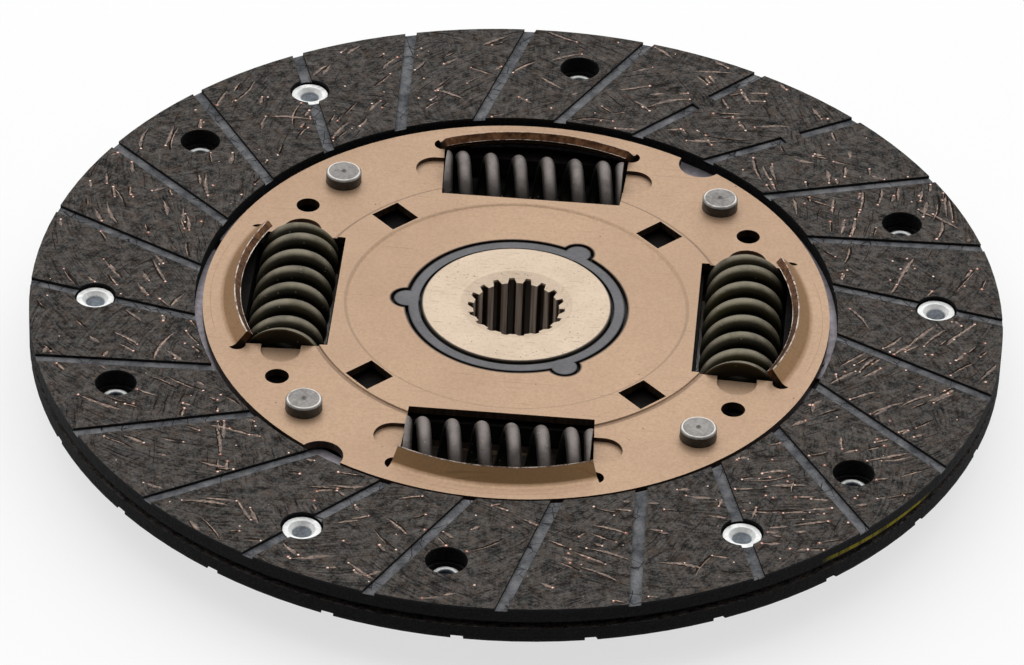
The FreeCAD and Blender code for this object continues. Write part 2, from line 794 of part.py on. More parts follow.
def tab_slot(sketch, gap):
    """The outline of one tab of the support plate, widened by a gap, on the line between two windows."""
    outer = S.support_outer + gap
    inner = S.support_outer - S.support_tab_thickness - gap
    half = S.support_tab_width / 2 + gap
    turn = quarter / 2
    corners = []
    for radius, side in ((inner, -1), (outer, -1), (outer, 1), (inner, 1)):
        corners.append((radius * cosine(turn) - half * side * sine(turn),
                        radius * sine(turn) + half * side * cosine(turn)))
    draw_outline(sketch, corners)


def make_bush():
    """The plastic bush: a sleeve round the hub with three lugs in the front plate, and a collar behind it."""
    label = "friction_bush"
    body = new_body(label)
    top = front_top - S.bush_recess
    bottom = front_inside - S.bush_collar_thickness
    journal = S.hub_front_radius + S.journal_gap
    mouth_floor = top - S.bush_mouth_depth
    turned(body, label + "_sleeve", [
        (journal, bottom),
        (S.bush_collar_radius, bottom),
        (S.bush_collar_radius, front_inside),
        (S.bush_outer, front_inside),
        (S.bush_outer, top),
        (S.bush_mouth, top),
        (S.bush_mouth, mouth_floor),
        (journal, mouth_floor),
    ])
    sketch = new_sketch(body, label + "_lug_sketch", offset=front_inside)
    draw_circle(sketch, -S.bush_lug_circle, 0, S.bush_lug_radius)
    lug = pad(body, label + "_lug", sketch, top - front_inside)
    polar_pattern(body, label + "_lugs", [lug], S.bush_lug_count)
    return body


def make_friction_ring():
    label = "rear_friction_ring"
    height = flange_bottom - S.running_gap - S.friction_ring_thickness
    body = new_body(label, height)
    ring_pad(body, label + "_ring", S.friction_ring_inner, S.friction_ring_outer,
             S.friction_ring_thickness)
    return body


def support_level():
    return flange_bottom - S.running_gap - S.friction_ring_thickness - S.support_thickness


def make_support_plate():
    """The steel plate behind the friction ring. Its bent tabs reach into slots in the rear plate."""
    label = "support_plate"
    body = new_body(label, support_level())
    ring_pad(body, label + "_ring", S.support_inner, S.support_outer, S.support_thickness)
    sketch = new_sketch(body, label + "_tab_sketch", offset=S.support_thickness - S.support_tab_length)
    tab_slot(sketch, as_dim(0))
    tab = pad(body, label + "_tab", sketch, S.support_tab_length)
    polar_pattern(body, label + "_tabs", [tab], S.window_count)
    return body


def make_cone_spring():
    """The cone spring that loads the friction parts, between the support plate and the rear plate's dish."""
    label = "diaphragm_spring"
    body = new_body(label)
    top = support_level()
    bottom = rear_inside - S.rear_dish_depth
    turned(body, label + "_cone", [
        (S.cone_spring_inner, top - S.cone_spring_thickness),
        (S.cone_spring_outer, bottom),
        (S.cone_spring_outer, bottom + S.cone_spring_thickness),
        (S.cone_spring_inner, top),
    ])
    return body


def make_stop_pin(index):
    """A shouldered pin that holds the two plates apart. Its ends stand out of both plates."""
    label = f"stop_pin_{index}"
    body = new_body(label, S.middle_height)
    x, y = polar(S.pin_circle, quarter * (index - 0.5))
    body.setExpression("Placement.Base.x", x.formula)
    body.setExpression("Placement.Base.y", y.formula)
    shoulder = S.plate_gap / 2
    end = shoulder + S.plate_thickness + S.pin_standout
    edge = S.pin_edge
    turned(body, label + "_pin", [
        (0, -end),
        (S.pin_radius - edge, -end),
        (S.pin_radius, -(end - edge)),
        (S.pin_radius, -shoulder),
        (S.pin_shoulder_radius, -shoulder),
        (S.pin_shoulder_radius, shoulder),
        (S.pin_radius, shoulder),
        (S.pin_radius, end - edge),
        (S.pin_radius - edge, end),
        (S.pin_dimple_radius, end),
        (0, end - S.pin_dimple_depth),
    ])
    return body


def spring_path(coil_radius, wire_radius):
    """The wire's middle line along X: one closed turn at each end, and even open turns between.

    The wire begins a quarter turn before its first foremost point.
    """
    turns = S.spring_turns.value
    steps_in_turn = 8
    wire = 2 * wire_radius
    closed = S.spring_closed_pitch.value * wire
    tip = S.spring_half_length.value + S.spring_ground_share.value * wire
    steps = round(turns * steps_in_turn)
    open_pitch = 2 * (tip - closed) / (turns - 2)
    points = []
    for step in range(steps + 1):
        turn = turns * step / steps
        along = min(turn, 1) * closed + min(max(turn - 1, 0), turns - 2) * open_pitch
        along += max(turn - turns + 1, 0) * closed - tip
        angle = 2 * math.pi * turn - math.pi / 2
        points.append(Vector(along, -coil_radius * math.sin(angle), coil_radius * math.cos(angle)))
    curve = Part.BSplineCurve()
    curve.interpolate(points)
    return curve


def make_spring(index, outer_radius, wire_radius):
    """A compression spring of round wire with closed ends, ground flat where they meet the windows."""
    label = f"damper_spring_{index}"
    curve = spring_path(outer_radius.value - wire_radius.value, wire_radius.value)
    start, tangent = curve.value(curve.FirstParameter), curve.tangent(curve.FirstParameter)[0]
    section = Part.Wire([Part.Circle(start, tangent, wire_radius.value).toShape()])
    wound = Part.Wire([curve.toShape()]).makePipeShell([section], True, True)
    half, reach = S.spring_half_length.value, 2 * outer_radius.value
    ground = Part.makeBox(2 * half, reach, reach, Vector(-half, -reach / 2, -reach / 2))
    spring = doc.addObject("Part::Feature", label)
    spring.Label = label
    spring.Shape = wound.common(ground)
    angle = quarter.value * (index - 1)
    x, y = (part.value for part in polar(S.spring_circle, angle))
    turn = Rotation(Vector(0, 0, 1), angle - 90)
    spring.Placement = Placement(Vector(x, y, S.middle_height.value), turn)
    return spring


def make_hub():
    """The splined hub: a journal for the bush, a toothed seat for the flange and a rear barrel."""
    label = "hub"
    body = new_body(label)
    collar_bottom = flange_bottom - S.hub_collar_thickness
    turned(body, label + "_turning", [
        (S.spline_minor_radius, 0),
        (S.hub_rear_radius - S.hub_rear_edge, 0),
        (S.hub_rear_radius, S.hub_rear_edge),
        (S.hub_rear_radius, collar_bottom),
        (S.hub_collar_radius, collar_bottom),
        (S.hub_collar_radius, flange_bottom),
        (S.tooth_root_radius, flange_bottom),
        (S.tooth_root_radius, flange_top),
        (S.hub_front_radius, flange_top),
        (S.hub_front_radius, S.hub_length - S.hub_edge),
        (S.hub_front_radius - S.hub_edge, S.hub_length),
        (S.lead_in_radius, S.hub_length),
        (S.spline_minor_radius, S.hub_length - S.lead_in_depth),
    ])
    teeth = new_sketch(body, label + "_tooth_sketch", offset=flange_bottom)
    draw_tooth(teeth, as_dim(0))
    tooth = pad(body, label + "_tooth", teeth, S.flange_thickness)
    polar_pattern(body, label + "_teeth", [tooth], S.tooth_count)
    space = new_sketch(body, label + "_spline_sketch", offset=S.hub_length)
    start = S.spline_minor_radius - S.cut_overrun
    draw_outline(space, [
        (start, -S.spline_space_inner / 2),
        (S.spline_minor_radius, -S.spline_space_inner / 2),
        (S.spline_major_radius, -S.spline_space_outer / 2),
        (S.spline_major_radius, S.spline_space_outer / 2),
        (S.spline_minor_radius, S.spline_space_inner / 2),
        (start, S.spline_space_inner / 2),
    ])
    groove = pocket(body, label + "_spline_space", space)
    polar_pattern(body, label + "_spline", [groove], S.spline_count)
    return body


def draw_tooth(sketch, gap):
    """One tooth between hub and flange, from inside the root circle to the tip, widened by a gap."""
    half = S.tooth_width / 2 + gap
    inside = S.tooth_root_radius - S.cut_overrun
    tip = S.tooth_tip_radius + gap
    draw_outline(sketch, [(inside, -half), (tip, -half), (tip, half), (inside, half)])


def make_flange():
    """The hub flange: spring windows, and open notches that the stop pins meet at the end of the twist."""
    label = "hub_flange"
    body = new_body(label, flange_bottom)
    ring_pad(body, label + "_plate", S.tooth_root_radius + S.tooth_clearance, S.flange_radius,
             S.flange_thickness)
    teeth = new_sketch(body, label + "_tooth_sketch", offset=S.flange_thickness)
    draw_tooth(teeth, S.tooth_clearance)
    tooth = pocket(body, label + "_tooth_space", teeth)
    polar_pattern(body, label + "_tooth_spaces", [tooth], S.tooth_count)
    window = new_sketch(body, label + "_window_sketch", offset=S.flange_thickness)
    inner = S.spring_circle - S.heavy_spring_radius - S.flange_window_gap
    outer = S.spring_circle + S.heavy_spring_radius + S.flange_window_gap
    half = S.spring_half_length + S.hole_gap
    corner = S.flange_window_corner
    draw_outline(window, [
        (inner, -half + corner, corner, 1),
        (inner + corner, -half),
        (outer - corner, -half, corner, 1),
        (outer, -half + corner),
        (outer, half - corner, corner, 1),
        (outer - corner, half),
        (inner + corner, half, corner, 1),
        (inner, half - corner),
    ])
    opening = pocket(body, label + "_window", window)
    notch = new_sketch(body, label + "_notch_sketch", offset=S.flange_thickness)
    draw_notch(notch)
    stop = pocket(body, label + "_notch", notch)
    polar_pattern(body, label + "_openings", [opening, stop], S.window_count)
    return body


def draw_notch(sketch):
    """A notch open at the flange's edge. Its sides lie one pin radius beyond the twist limit."""
    reach = arcsine((S.pin_shoulder_radius + S.running_gap) / S.pin_circle) + S.twist_limit
    floor = S.pin_circle - S.pin_shoulder_radius - S.flange_window_gap
    mouth = S.flange_radius + S.cut_overrun
    first, last = quarter / 2 - reach, quarter / 2 + reach
    draw_outline(sketch, [
        polar(floor, first),
        polar(mouth, first),
        polar(mouth, last),
        polar(floor, last) + (floor, -1),
    ])


def build_all():
    """Every piece of the disc, the ones that turn with the facings first."""
    front_facing = make_facing("front_facing", True)
    front_facing.setExpression("Placement.Base.z", segment_top.formula)
    rear_facing = make_facing("rear_facing", False)
    face_rearward(rear_facing, facing_middle - S.facing_gap / 2)
    front_rivets = make_facing_rivets("front_facing_rivets", True)
    front_rivets.setExpression("Placement.Base.z", segment_top.formula)
    rear_rivets = make_facing_rivets("rear_facing_rivets", False)
    face_rearward(rear_rivets, facing_middle - S.facing_gap / 2)
    pieces = [front_facing, rear_facing, front_rivets, rear_rivets]
    pieces += [make_segment(index) for index in range(1, int(S.segment_count.value) + 1)]
    pieces += [make_segment_rivets(), make_front_plate(), make_rear_plate()]
    for index in range(1, int(S.window_count.value) + 1):
        pieces.append(make_stop_pin(index))
        heavy = index % 2 == 1
        outer = S.heavy_spring_radius if heavy else S.light_spring_radius
        wire = S.heavy_wire_radius if heavy else S.light_wire_radius
        pieces.append(make_spring(index, outer, wire))
    pieces += [make_bush(), make_friction_ring(), make_support_plate(), make_cone_spring()]
    return pieces + [make_hub(), make_flange()]


def check_document():
    """Stops if any feature failed to build."""
    for feature in doc.Objects:
        if "Invalid" in feature.State or "Error" in feature.State:
            raise RuntimeError(f"{feature.Name} did not build: {feature.State}")


def write_piece(piece):
    """Checks one piece's solids and writes them to its own file."""
    shape = piece.Shape
    if shape.isNull() or not shape.isValid() or not shape.Solids:
        raise RuntimeError(f"{piece.Label} has no valid solid")
    shape.exportStep(os.path.join("parts", piece.Label + ".step"))
    print(f"{piece.Label}: {len(shape.Solids)} solids, {shape.Volume:.1f} cubic mm")


pieces = build_all()
doc.recompute()
check_document()
os.makedirs("parts", exist_ok=True)
for piece in pieces:
    write_piece(piece)
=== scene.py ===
import math
import random

import bmesh
import bpy
from mathutils import Matrix, Vector


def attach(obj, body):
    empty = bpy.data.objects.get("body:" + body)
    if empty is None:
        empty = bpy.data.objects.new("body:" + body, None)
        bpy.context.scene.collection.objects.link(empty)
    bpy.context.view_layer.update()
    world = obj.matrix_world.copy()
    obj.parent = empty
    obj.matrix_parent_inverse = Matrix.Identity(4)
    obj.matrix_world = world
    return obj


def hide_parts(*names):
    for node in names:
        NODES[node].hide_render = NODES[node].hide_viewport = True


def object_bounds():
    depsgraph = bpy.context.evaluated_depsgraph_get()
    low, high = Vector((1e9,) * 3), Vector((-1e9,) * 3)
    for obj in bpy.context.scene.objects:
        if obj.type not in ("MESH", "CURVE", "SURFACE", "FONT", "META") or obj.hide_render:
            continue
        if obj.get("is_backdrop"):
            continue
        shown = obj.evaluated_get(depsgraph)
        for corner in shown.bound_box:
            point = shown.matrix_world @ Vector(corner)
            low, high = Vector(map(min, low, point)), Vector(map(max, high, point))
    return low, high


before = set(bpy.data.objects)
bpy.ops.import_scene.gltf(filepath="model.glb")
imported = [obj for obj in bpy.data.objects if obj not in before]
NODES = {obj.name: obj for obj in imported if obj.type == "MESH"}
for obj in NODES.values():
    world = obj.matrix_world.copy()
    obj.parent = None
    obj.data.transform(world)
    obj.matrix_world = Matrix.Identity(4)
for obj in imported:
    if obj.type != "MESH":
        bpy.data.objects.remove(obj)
CAD_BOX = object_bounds()
MM = 0.001

# The disc's own sizes, in millimetres and degrees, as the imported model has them. First the facings.
FACING_TOP = 19.2
FRONT_FACING_BACK = 15.75
REAR_FACING_BACK = 13.95
FACING_THICKNESS = 3.45
FACING_INNER = 71.1
FACING_OUTER = 107.5
RIVET_CIRCLE = 93.0
RIVET_ANGLE = 5.44
RIVET_SPREAD = 20.02
RIVET_STEP = 60.0
RIVET_RECESS = 2.0
MISSING_RIVET = 1
HOLE_RADIUS = 4.55
GROOVE_OFFSET = 29.8
GROOVE_HALF_WIDTH = 1.3
GROOVE_DEPTH = 0.7
GROOVE_STEP = 15.0
GROOVE_DIRECTION = RIVET_ANGLE - math.degrees(math.asin(GROOVE_OFFSET / RIVET_CIRCLE))
# The rear facing is turned over about the x axis and then round by this angle.
REAR_TURN = 2 * RIVET_ANGLE + RIVET_SPREAD

# The front cover plate, its raised band and its hoods.
FRONT_PLATE_TOP = 18.2
BAND_TOP = 18.65
BAND_INNER = 37.4
BAND_OUTER = 46.4
SHEET = 1.8
HOOD_AXIS = 14.3
HOOD_FOOT = 66.18
HOOD_BEND = 2.0
HOOD_LEAN = 47.3
HOOD_STRAIGHT = 3.48
HOOD_HALF_ANGLE = math.degrees(math.asin(22.2 / 51.0))
TOP_HOOD = 1
# The band's outer circle crosses a window's side at about this distance from the window's middle line.
WINDOW_SIDE = 20.3

# The pins, the springs, the hub and the bush.
PIN_PLACE = 60.4 * math.sqrt(0.5)
PIN_RIM = 3.6
SPRING_CIRCLE = 50.0
SPRING_HEIGHT = 13.2
HEAVY_SPRING_RADIUS = 8.8
LIGHT_SPRING_RADIUS = 8.5
HUB_LENGTH = 18.6
HUB_RADIUS = 21.0
SPLINE_MAJOR = 10.75
SPLINE_MINOR = 9.55
BUSH_RADIUS = 23.95
BUSH_MOUTH = 21.65
BUSH_GAP = 0.75
LUG_CIRCLE = 24.3
LUG_RADIUS = 2.85
LUG_ANGLES = (180.0, 300.0, 60.0)

# The facings' wound yarn swings by a sweep to both sides of its middle circle.
YARN_MIDDLE = 89.3
YARN_SWEEP = 20.0
YARN_SWING = 0.80
# How many loose cracks, strands and single dots one facing has, and the lengths drawn for them.
CRACKS, STRANDS, DOTS = 480, 430, 210
CRACK_LENGTHS = (2.5, 4.0, 5.5, 8.0)
STRAND_LENGTHS = (2.2, 3.2, 4.5, 6.5, 9.0)
POINT_SPACING = 0.6
# How far what lies on the face rises above it, by kind.
CRACK_RISE = 0.008
HOLLOW_RISE = 0.010
SMEAR_RISE = 0.026
STRAND_RISE = 0.045
STAIN_RISE = 0.050
END_RISE = 0.060
FLECK_RISE = 0.050
# The strands' materials, in the order in which their pieces hold them.
SMEAR, STRAND, CRACK, CUT_END, STAIN = range(5)

# Rows of faces down a slope of the raised band, steps along a hood's edge with its painted highlight, and
# the angle between two faces from which their edge stays sharp.
SLOPE_ROWS = 6
EDGE_STEPS = 48
SHARP_ANGLE = 35.0

# The photograph's camera, worked out from the facing's circles and rivets.
VIEW_AZIMUTH = 3.3
VIEW_ELEVATION = 36.72
VIEW_ROLL = 2.18
FOCAL_PIXELS = 6459.2
PICTURE_WIDTH = 1024.0
SENSOR_WIDTH = 36.0
CAMERA_DISTANCE = 1418.4
CAMERA_TARGET = (-0.09, -11.48, FACING_TOP)

SEGMENTS = [f"cushion_segment_{index}" for index in range(1, 7)]
PINS = [f"stop_pin_{index}" for index in range(1, 5)]
HEAVY_SPRINGS = ["damper_spring_1", "damper_spring_3"]
LIGHT_SPRINGS = ["damper_spring_2", "damper_spring_4"]


class Look:
    """One material: a principled shader, and short calls that add and join the nodes before it."""

    def __init__(self, name, roughness=0.5, metallic=0.0, **fixed):
        self.material = bpy.data.materials.new(name)
        self.material.use_nodes = True
        self.tree = self.material.node_tree
        self.tree.nodes.clear()
        output = self.tree.nodes.new("ShaderNodeOutputMaterial")
        self.shader = self.tree.nodes.new("ShaderNodeBsdfPrincipled")
        self.tree.links.new(self.shader.outputs["BSDF"], output.inputs["Surface"])
        self.shader.inputs["Roughness"].default_value = roughness
        self.shader.inputs["Metallic"].default_value = metallic
        for key, value in fixed.items():
            self.shader.inputs[key.replace("_", " ")].default_value = value

    def feed(self, socket, value):
        if isinstance(value, bpy.types.NodeSocket):
            self.tree.links.new(value, socket)
        elif hasattr(value, "__len__") and len(value) == 3 and socket.type == "RGBA":
            socket.default_value = (*value, 1.0)
        else:
            socket.default_value = value

    def node(self, kind, settings=None, inputs=None):
        node = self.tree.nodes.new(kind)
        for key, value in (settings or {}).items():
            setattr(node, key, value)
        for key, value in (inputs or {}).items():
            self.feed(node.inputs[key], value)
        return node

    def math(self, operation, *values):
        node = self.node("ShaderNodeMath", {"operation": operation})
        for socket, value in zip(node.inputs, values):
            self.feed(socket, value)
        return node.outputs[0]

    def mix(self, amount, first, second, blend="MIX"):
        """Two colours blended by an amount from 0 to 1."""
        node = self.node("ShaderNodeMix", {"data_type": "RGBA", "blend_type": blend})
        for index, value in ((0, amount), (6, first), (7, second)):
            self.feed(node.inputs[index], value)
        return node.outputs[2]

    def cover(self, base, mask, strength, color):
        """A colour laid over the base where the mask is 1, up to a strength."""
        return self.mix(self.math("MULTIPLY", mask, strength), base, color)

    def total(self, *parts):
        """The sum of values, each times its share."""
        products = [self.math("MULTIPLY", value, share) for value, share in parts]
        whole = products[0]
        for product in products[1:]:
            whole = self.math("ADD", whole, product)
        return whole

    def band(self, value, low, high, edge):
        """1 where the value lies between low and high, with soft edges."""
        rise = self.spread(value, low - edge, low + edge)
        fall = self.spread(value, high - edge, high + edge)
        return self.math("MULTIPLY", rise, self.math("SUBTRACT", 1.0, fall))

    def spread(self, value, low, high, to_low=0.0, to_high=1.0):
        node = self.node("ShaderNodeMapRange", {"clamp": True}, {
            "Value": value, "From Min": low, "From Max": high, "To Min": to_low, "To Max": to_high})
        return node.outputs[0]

    def place(self):
        return self.node("ShaderNodeTexCoord").outputs["Object"]

    def split(self, vector):
        return self.node("ShaderNodeSeparateXYZ", inputs={0: vector}).outputs

    def join(self, x, y, z):
        node = self.node("ShaderNodeCombineXYZ")
        for socket, value in zip(node.inputs, (x, y, z)):
            self.feed(socket, value)
        return node.outputs[0]

    def noise(self, vector, scale, detail=3.0, roughness=0.55):
        """Noise whose scale counts its cells in a metre."""
        return self.node("ShaderNodeTexNoise", inputs={
            "Vector": vector, "Scale": scale, "Detail": detail, "Roughness": roughness}).outputs["Fac"]

    def cells(self, vector, scale, feature="F1"):
        return self.node("ShaderNodeTexVoronoi", {"feature": feature}, {
            "Vector": vector, "Scale": scale}).outputs["Distance"]

    def stretched(self, vector, scale, turn=(0.0, 0.0, 0.0)):
        return self.node("ShaderNodeMapping", inputs={
            "Vector": vector, "Scale": scale, "Rotation": turn}).outputs[0]

    def upward(self):
        """How far the surface faces along the disc's axis, either way, from 0 to 1."""
        normal = self.node("ShaderNodeTexCoord").outputs["Normal"]
        return self.math("ABSOLUTE", self.split(normal)[2])

    def from_axis(self, vector):
        """Distance from the disc's axis."""
        x, y, _ = self.split(vector)
        return self.length(x, y)

    def length(self, first, second):
        squares = [self.math("MULTIPLY", value, value) for value in (first, second)]
        return self.math("SQRT", self.math("ADD", *squares))

    def from_rivet(self, vector, start):
        """Distance from the nearest facing rivet of the ring whose first one is at the start angle."""
        x, y, _ = self.split(vector)
        turn = self.math("SUBTRACT", self.math("ARCTAN2", y, x), math.radians(start))
        half_step = math.radians(RIVET_STEP / 2)
        turn = self.math("WRAP", turn, half_step, -half_step)
        beside = self.math("MULTIPLY", turn, RIVET_CIRCLE * MM)
        return self.length(beside, self.math("SUBTRACT", self.from_axis(vector), RIVET_CIRCLE * MM))

    def color(self, value):
        self.feed(self.shader.inputs["Base Color"], value)

    def rough(self, value):
        self.feed(self.shader.inputs["Roughness"], value)

    def bump(self, height, distance, strength=1.0):
        node = self.node("ShaderNodeBump", inputs={
            "Height": height, "Distance": distance, "Strength": strength})
        self.feed(self.shader.inputs["Normal"], node.outputs[0])

    def specks(self, vector, scale, size, share):
        """Small round specks: 1 inside a speck. The share is that of the cells that have one."""
        near = self.cells(vector, scale)
        pick = self.noise(vector, scale * 0.31, 0.0)
        spot = self.spread(near, size * 0.6, size, 1.0, 0.0)
        return self.math("MULTIPLY", spot, self.spread(pick, 1.0 - share, 1.02 - share))


def local_turn(rear):
    """How a facing's own coordinates follow from the disc's: the rear one is turned over."""
    if not rear:
        return (0.0, 0.0, 0.0), (0.0, 0.0, -FRONT_FACING_BACK * MM)
    return (math.pi, 0.0, math.radians(REAR_TURN)), (0.0, 0.0, REAR_FACING_BACK * MM)


def yarn_weave(look, place, radius):
    """Fibres along the wound yarn, which leads outward in some patches and inward in the others."""
    x, y, _ = look.split(place)
    # The angle is counted from a groove, so that its jump from 360 to 0 degrees lies in that groove.
    lean = look.math("ARCSINE", look.math("DIVIDE", GROOVE_OFFSET * MM, radius))
    start = look.math("ADD", lean, math.radians(GROOVE_DIRECTION + 180.0 + 5 * GROOVE_STEP))
    cosine, sine = look.math("COSINE", start), look.math("SINE", start)
    along = look.total((x, cosine), (y, sine))
    across = look.math("SUBTRACT", look.math("MULTIPLY", y, cosine), look.math("MULTIPLY", x, sine))
    angle = look.math("ADD", look.math("ARCTAN2", across, along), lean)
    girth = look.math("MULTIPLY", angle, YARN_MIDDLE * MM)
    # The yarn crosses the middle circle steeply and turns back near the facing's edges.
    swing = look.math("SUBTRACT", radius, YARN_MIDDLE * MM)
    swing = look.math("DIVIDE", swing, YARN_SWEEP * MM)
    phase = look.math("MULTIPLY", look.math("ARCSINE", swing), YARN_SWEEP * MM / YARN_SWING)
    wander = look.noise(place, 90.0, 2.0)
    fibres = []
    for way in (1.0, -1.0):
        beside = look.math("ADD", girth, look.math("MULTIPLY", phase, -way))
        beside = look.math("ADD", beside, look.math("MULTIPLY", wander, 0.006))
        beside = look.math("MULTIPLY", beside, 900.0)
        thread = look.join(beside, look.math("MULTIPLY", phase, 140.0), way)
        fibres.append(look.noise(thread, 1.0, 3.0, 0.6))
    pick = look.spread(look.noise(place, 55.0, 1.0), 0.46, 0.54)
    return look.total((fibres[0], pick), (fibres[1], look.math("SUBTRACT", 1.0, pick)))


def groove_dust(look, place):
    """The grooves' floors: uneven grey dust with fine cracks in places."""
    dust = look.spread(look.noise(place, 260.0, 4.0, 0.65), 0.35, 0.70)
    floor = look.mix(dust, (0.064, 0.067, 0.074), (0.222, 0.224, 0.235))
    cracks = look.spread(look.cells(place, 300.0, "DISTANCE_TO_EDGE"), 0.006, 0.035, 1.0, 0.0)
    broken = look.math("MULTIPLY", cracks, look.spread(look.noise(place, 120.0, 1.0), 0.48, 0.54))
    return look.mix(broken, floor, (0.012, 0.012, 0.012))


def lining_rim(look, place, radius, grain, painted):
    """A facing's upright sides: black, and lighter towards the arris of the working face. Their black is
    their own dark colour deepened by painted shade.
    """
    height = look.split(place)[2]
    rim = look.mix(look.spread(grain, 0.40, 0.65), (0.003, 0.003, 0.0035), (0.018, 0.018, 0.020))
    arris = look.spread(height, (FACING_THICKNESS - 0.7) * MM, (FACING_THICKNESS - 0.1) * MM)
    rim = look.cover(rim, arris, 0.55, (0.036, 0.038, 0.043))
    if painted:
        rim = look.mix(paint_stripe(look, place, radius), rim, (0.300, 0.250, 0.020))
    return rim


def lining_look(name, rear):
    """Pressed friction yarn: grainy resin, torn along the yarn, with dusty grooves and black sides."""
    look = Look(name, roughness=0.85, Specular_IOR_Level=0.12)
    turn, shift = local_turn(rear)
    place = look.node("ShaderNodeMapping", inputs={
        "Vector": look.place(), "Rotation": turn, "Location": shift}).outputs[0]
    radius = look.from_axis(place)
    weave = yarn_weave(look, place, radius)
    grain = look.noise(place, 1900.0, 4.0, 0.85)
    lumps = look.noise(place, 480.0, 4.0, 0.75)
    tone = look.total((weave, 0.22), (grain, 0.40), (lumps, 0.38))
    face = look.mix(look.spread(tone, 0.435, 0.585), (0.005, 0.0045, 0.004), (0.132, 0.119, 0.109))
    tint = look.noise(place, 380.0, 3.0, 0.65)
    face = look.mix(look.spread(tint, 0.50, 0.68, 0.0, 0.40), face, (0.095, 0.063, 0.044))
    face = look.mix(look.spread(tint, 0.34, 0.46, 0.30, 0.0), face, (0.036, 0.041, 0.043))
    warm = look.spread(look.noise(place, 700.0, 3.0, 0.75), 0.61, 0.74)
    face = look.cover(face, warm, 0.5, (0.22, 0.130, 0.088))
    torn = look.spread(weave, 0.33, 0.39, 1.0, 0.0)
    face = look.cover(face, torn, 0.9, (0.004, 0.003, 0.003))
    flatness = look.spread(look.upward(), 0.6, 0.8)
    groove_floor = (FACING_THICKNESS - GROOVE_DEPTH) * MM
    near = 0.15 * MM
    depth = look.band(look.split(place)[2], groove_floor - near, groove_floor + near, 0.05 * MM)
    in_groove = look.math("MULTIPLY", depth, flatness)
    flat = look.mix(in_groove, face, groove_dust(look, place))
    # Painted shade: upright faces take the rim's black instead of the working face's colour.
    look.color(look.mix(flatness, lining_rim(look, place, radius, grain, painted=not rear), flat))
    look.rough(look.spread(tone, 0.3, 0.7, 0.74, 0.92))
    look.bump(look.total((weave, 0.5), (lumps, 0.9), (grain, 0.4)), 0.0006, 1.0)
    return look.material


def paint_stripe(look, place, radius):
    """A short broken stroke of yellow marking paint low on the front facing's rim."""
    x, y, height = look.split(place)
    first, last = math.radians(-47.5), math.radians(-31.0)
    angle = look.math("ARCTAN2", y, x)
    reach = look.band(angle, first, last, 0.02)
    drop = look.spread(angle, first, last, 0.85 * MM, 0.20 * MM)
    away = look.math("ABSOLUTE", look.math("SUBTRACT", height, drop))
    level = look.math("LESS_THAN", away, 0.48 * MM)
    broken = look.spread(look.noise(look.join(x, y, 0.0), 330.0, 4.0, 0.7), 0.42, 0.52, 0.35, 1.0)
    outside = look.math("GREATER_THAN", radius, (FACING_OUTER - 0.2) * MM)
    stroke = look.math("MULTIPLY", look.math("MULTIPLY", reach, level), outside)
    return look.math("MULTIPLY", stroke, broken)


def bush_outline(look, place):
    """Depth inside the outline that the bush and its three lugs share. Outside it is below zero."""
    x, y, _ = look.split(place)
    inside = look.math("SUBTRACT", BUSH_RADIUS * MM, look.from_axis(place))
    for degrees in LUG_ANGLES:
        turn = math.radians(degrees)
        across = look.math("SUBTRACT", x, LUG_CIRCLE * MM * math.cos(turn))
        along = look.math("SUBTRACT", y, LUG_CIRCLE * MM * math.sin(turn))
        lug = look.math("SUBTRACT", LUG_RADIUS * MM, look.length(across, along))
        inside = look.math("MAXIMUM", inside, lug)
    return inside


def hood_place(look, place):
    """Distance from the axis of the nearest hood, how far out and how far sideways, and the height."""
    x, y, height = look.split(place)
    sides = [look.math("ABSOLUTE", value) for value in (x, y)]
    outward = look.math("MAXIMUM", *sides)
    sideways = look.math("MINIMUM", *sides)
    reach = look.length(look.math("SUBTRACT", outward, HOOD_AXIS * MM), sideways)
    return reach, outward, sideways, height


def plate_marks(look, place, base):
    """Painted shade in the gap round the bush's opening, and the thin shadows at the raised band's edges.
    """
    gap = BUSH_GAP * MM
    # Painted shade: the sheet just outside the bush's outline is darkened where the gap lies in shade.
    gap_shade = look.spread(bush_outline(look, place), -gap - 0.42 * MM, -gap - 0.12 * MM)
    base = look.cover(base, gap_shade, 0.9, (0.030, 0.018, 0.011))
    radius = look.from_axis(place)
    crease = look.band(radius, (BAND_OUTER + 0.15) * MM, (BAND_OUTER + 0.76) * MM, 0.10 * MM)
    base = look.cover(base, crease, 0.50, (0.085, 0.045, 0.025))
    fold = look.band(radius, (BAND_INNER + 0.62) * MM, (BAND_INNER + 0.78) * MM, 0.08 * MM)
    return look.cover(base, fold, 0.30, (0.110, 0.062, 0.036))


def hood_marks(look, place, base):
    """A dark line along each hood's bend. The raised hoods are painted darker and more olive as shade."""
    reach, outward, sideways, height = hood_place(look, place)
    foot = (HOOD_FOOT - HOOD_AXIS) * MM
    line = look.band(reach, foot + 1.5 * MM, foot + 1.62 * MM, 0.07 * MM)
    line = look.math("MULTIPLY", line, look.spread(sideways, 16.0 * MM, 19.0 * MM, 0.5, 0.0))
    base = look.mix(line, base, (0.16, 0.085, 0.045))
    # Painted shade: the hoods, bend included, are darkened and turned olive.
    raised = look.spread(height, (FRONT_PLATE_TOP + 0.02) * MM, (FRONT_PLATE_TOP + 0.7) * MM)
    raised = look.math("MULTIPLY", raised, look.spread(outward, 54.0 * MM, 55.0 * MM))
    return look.mix(raised, base, look.mix(1.0, base, (0.72, 0.61, 0.41), "MULTIPLY"))


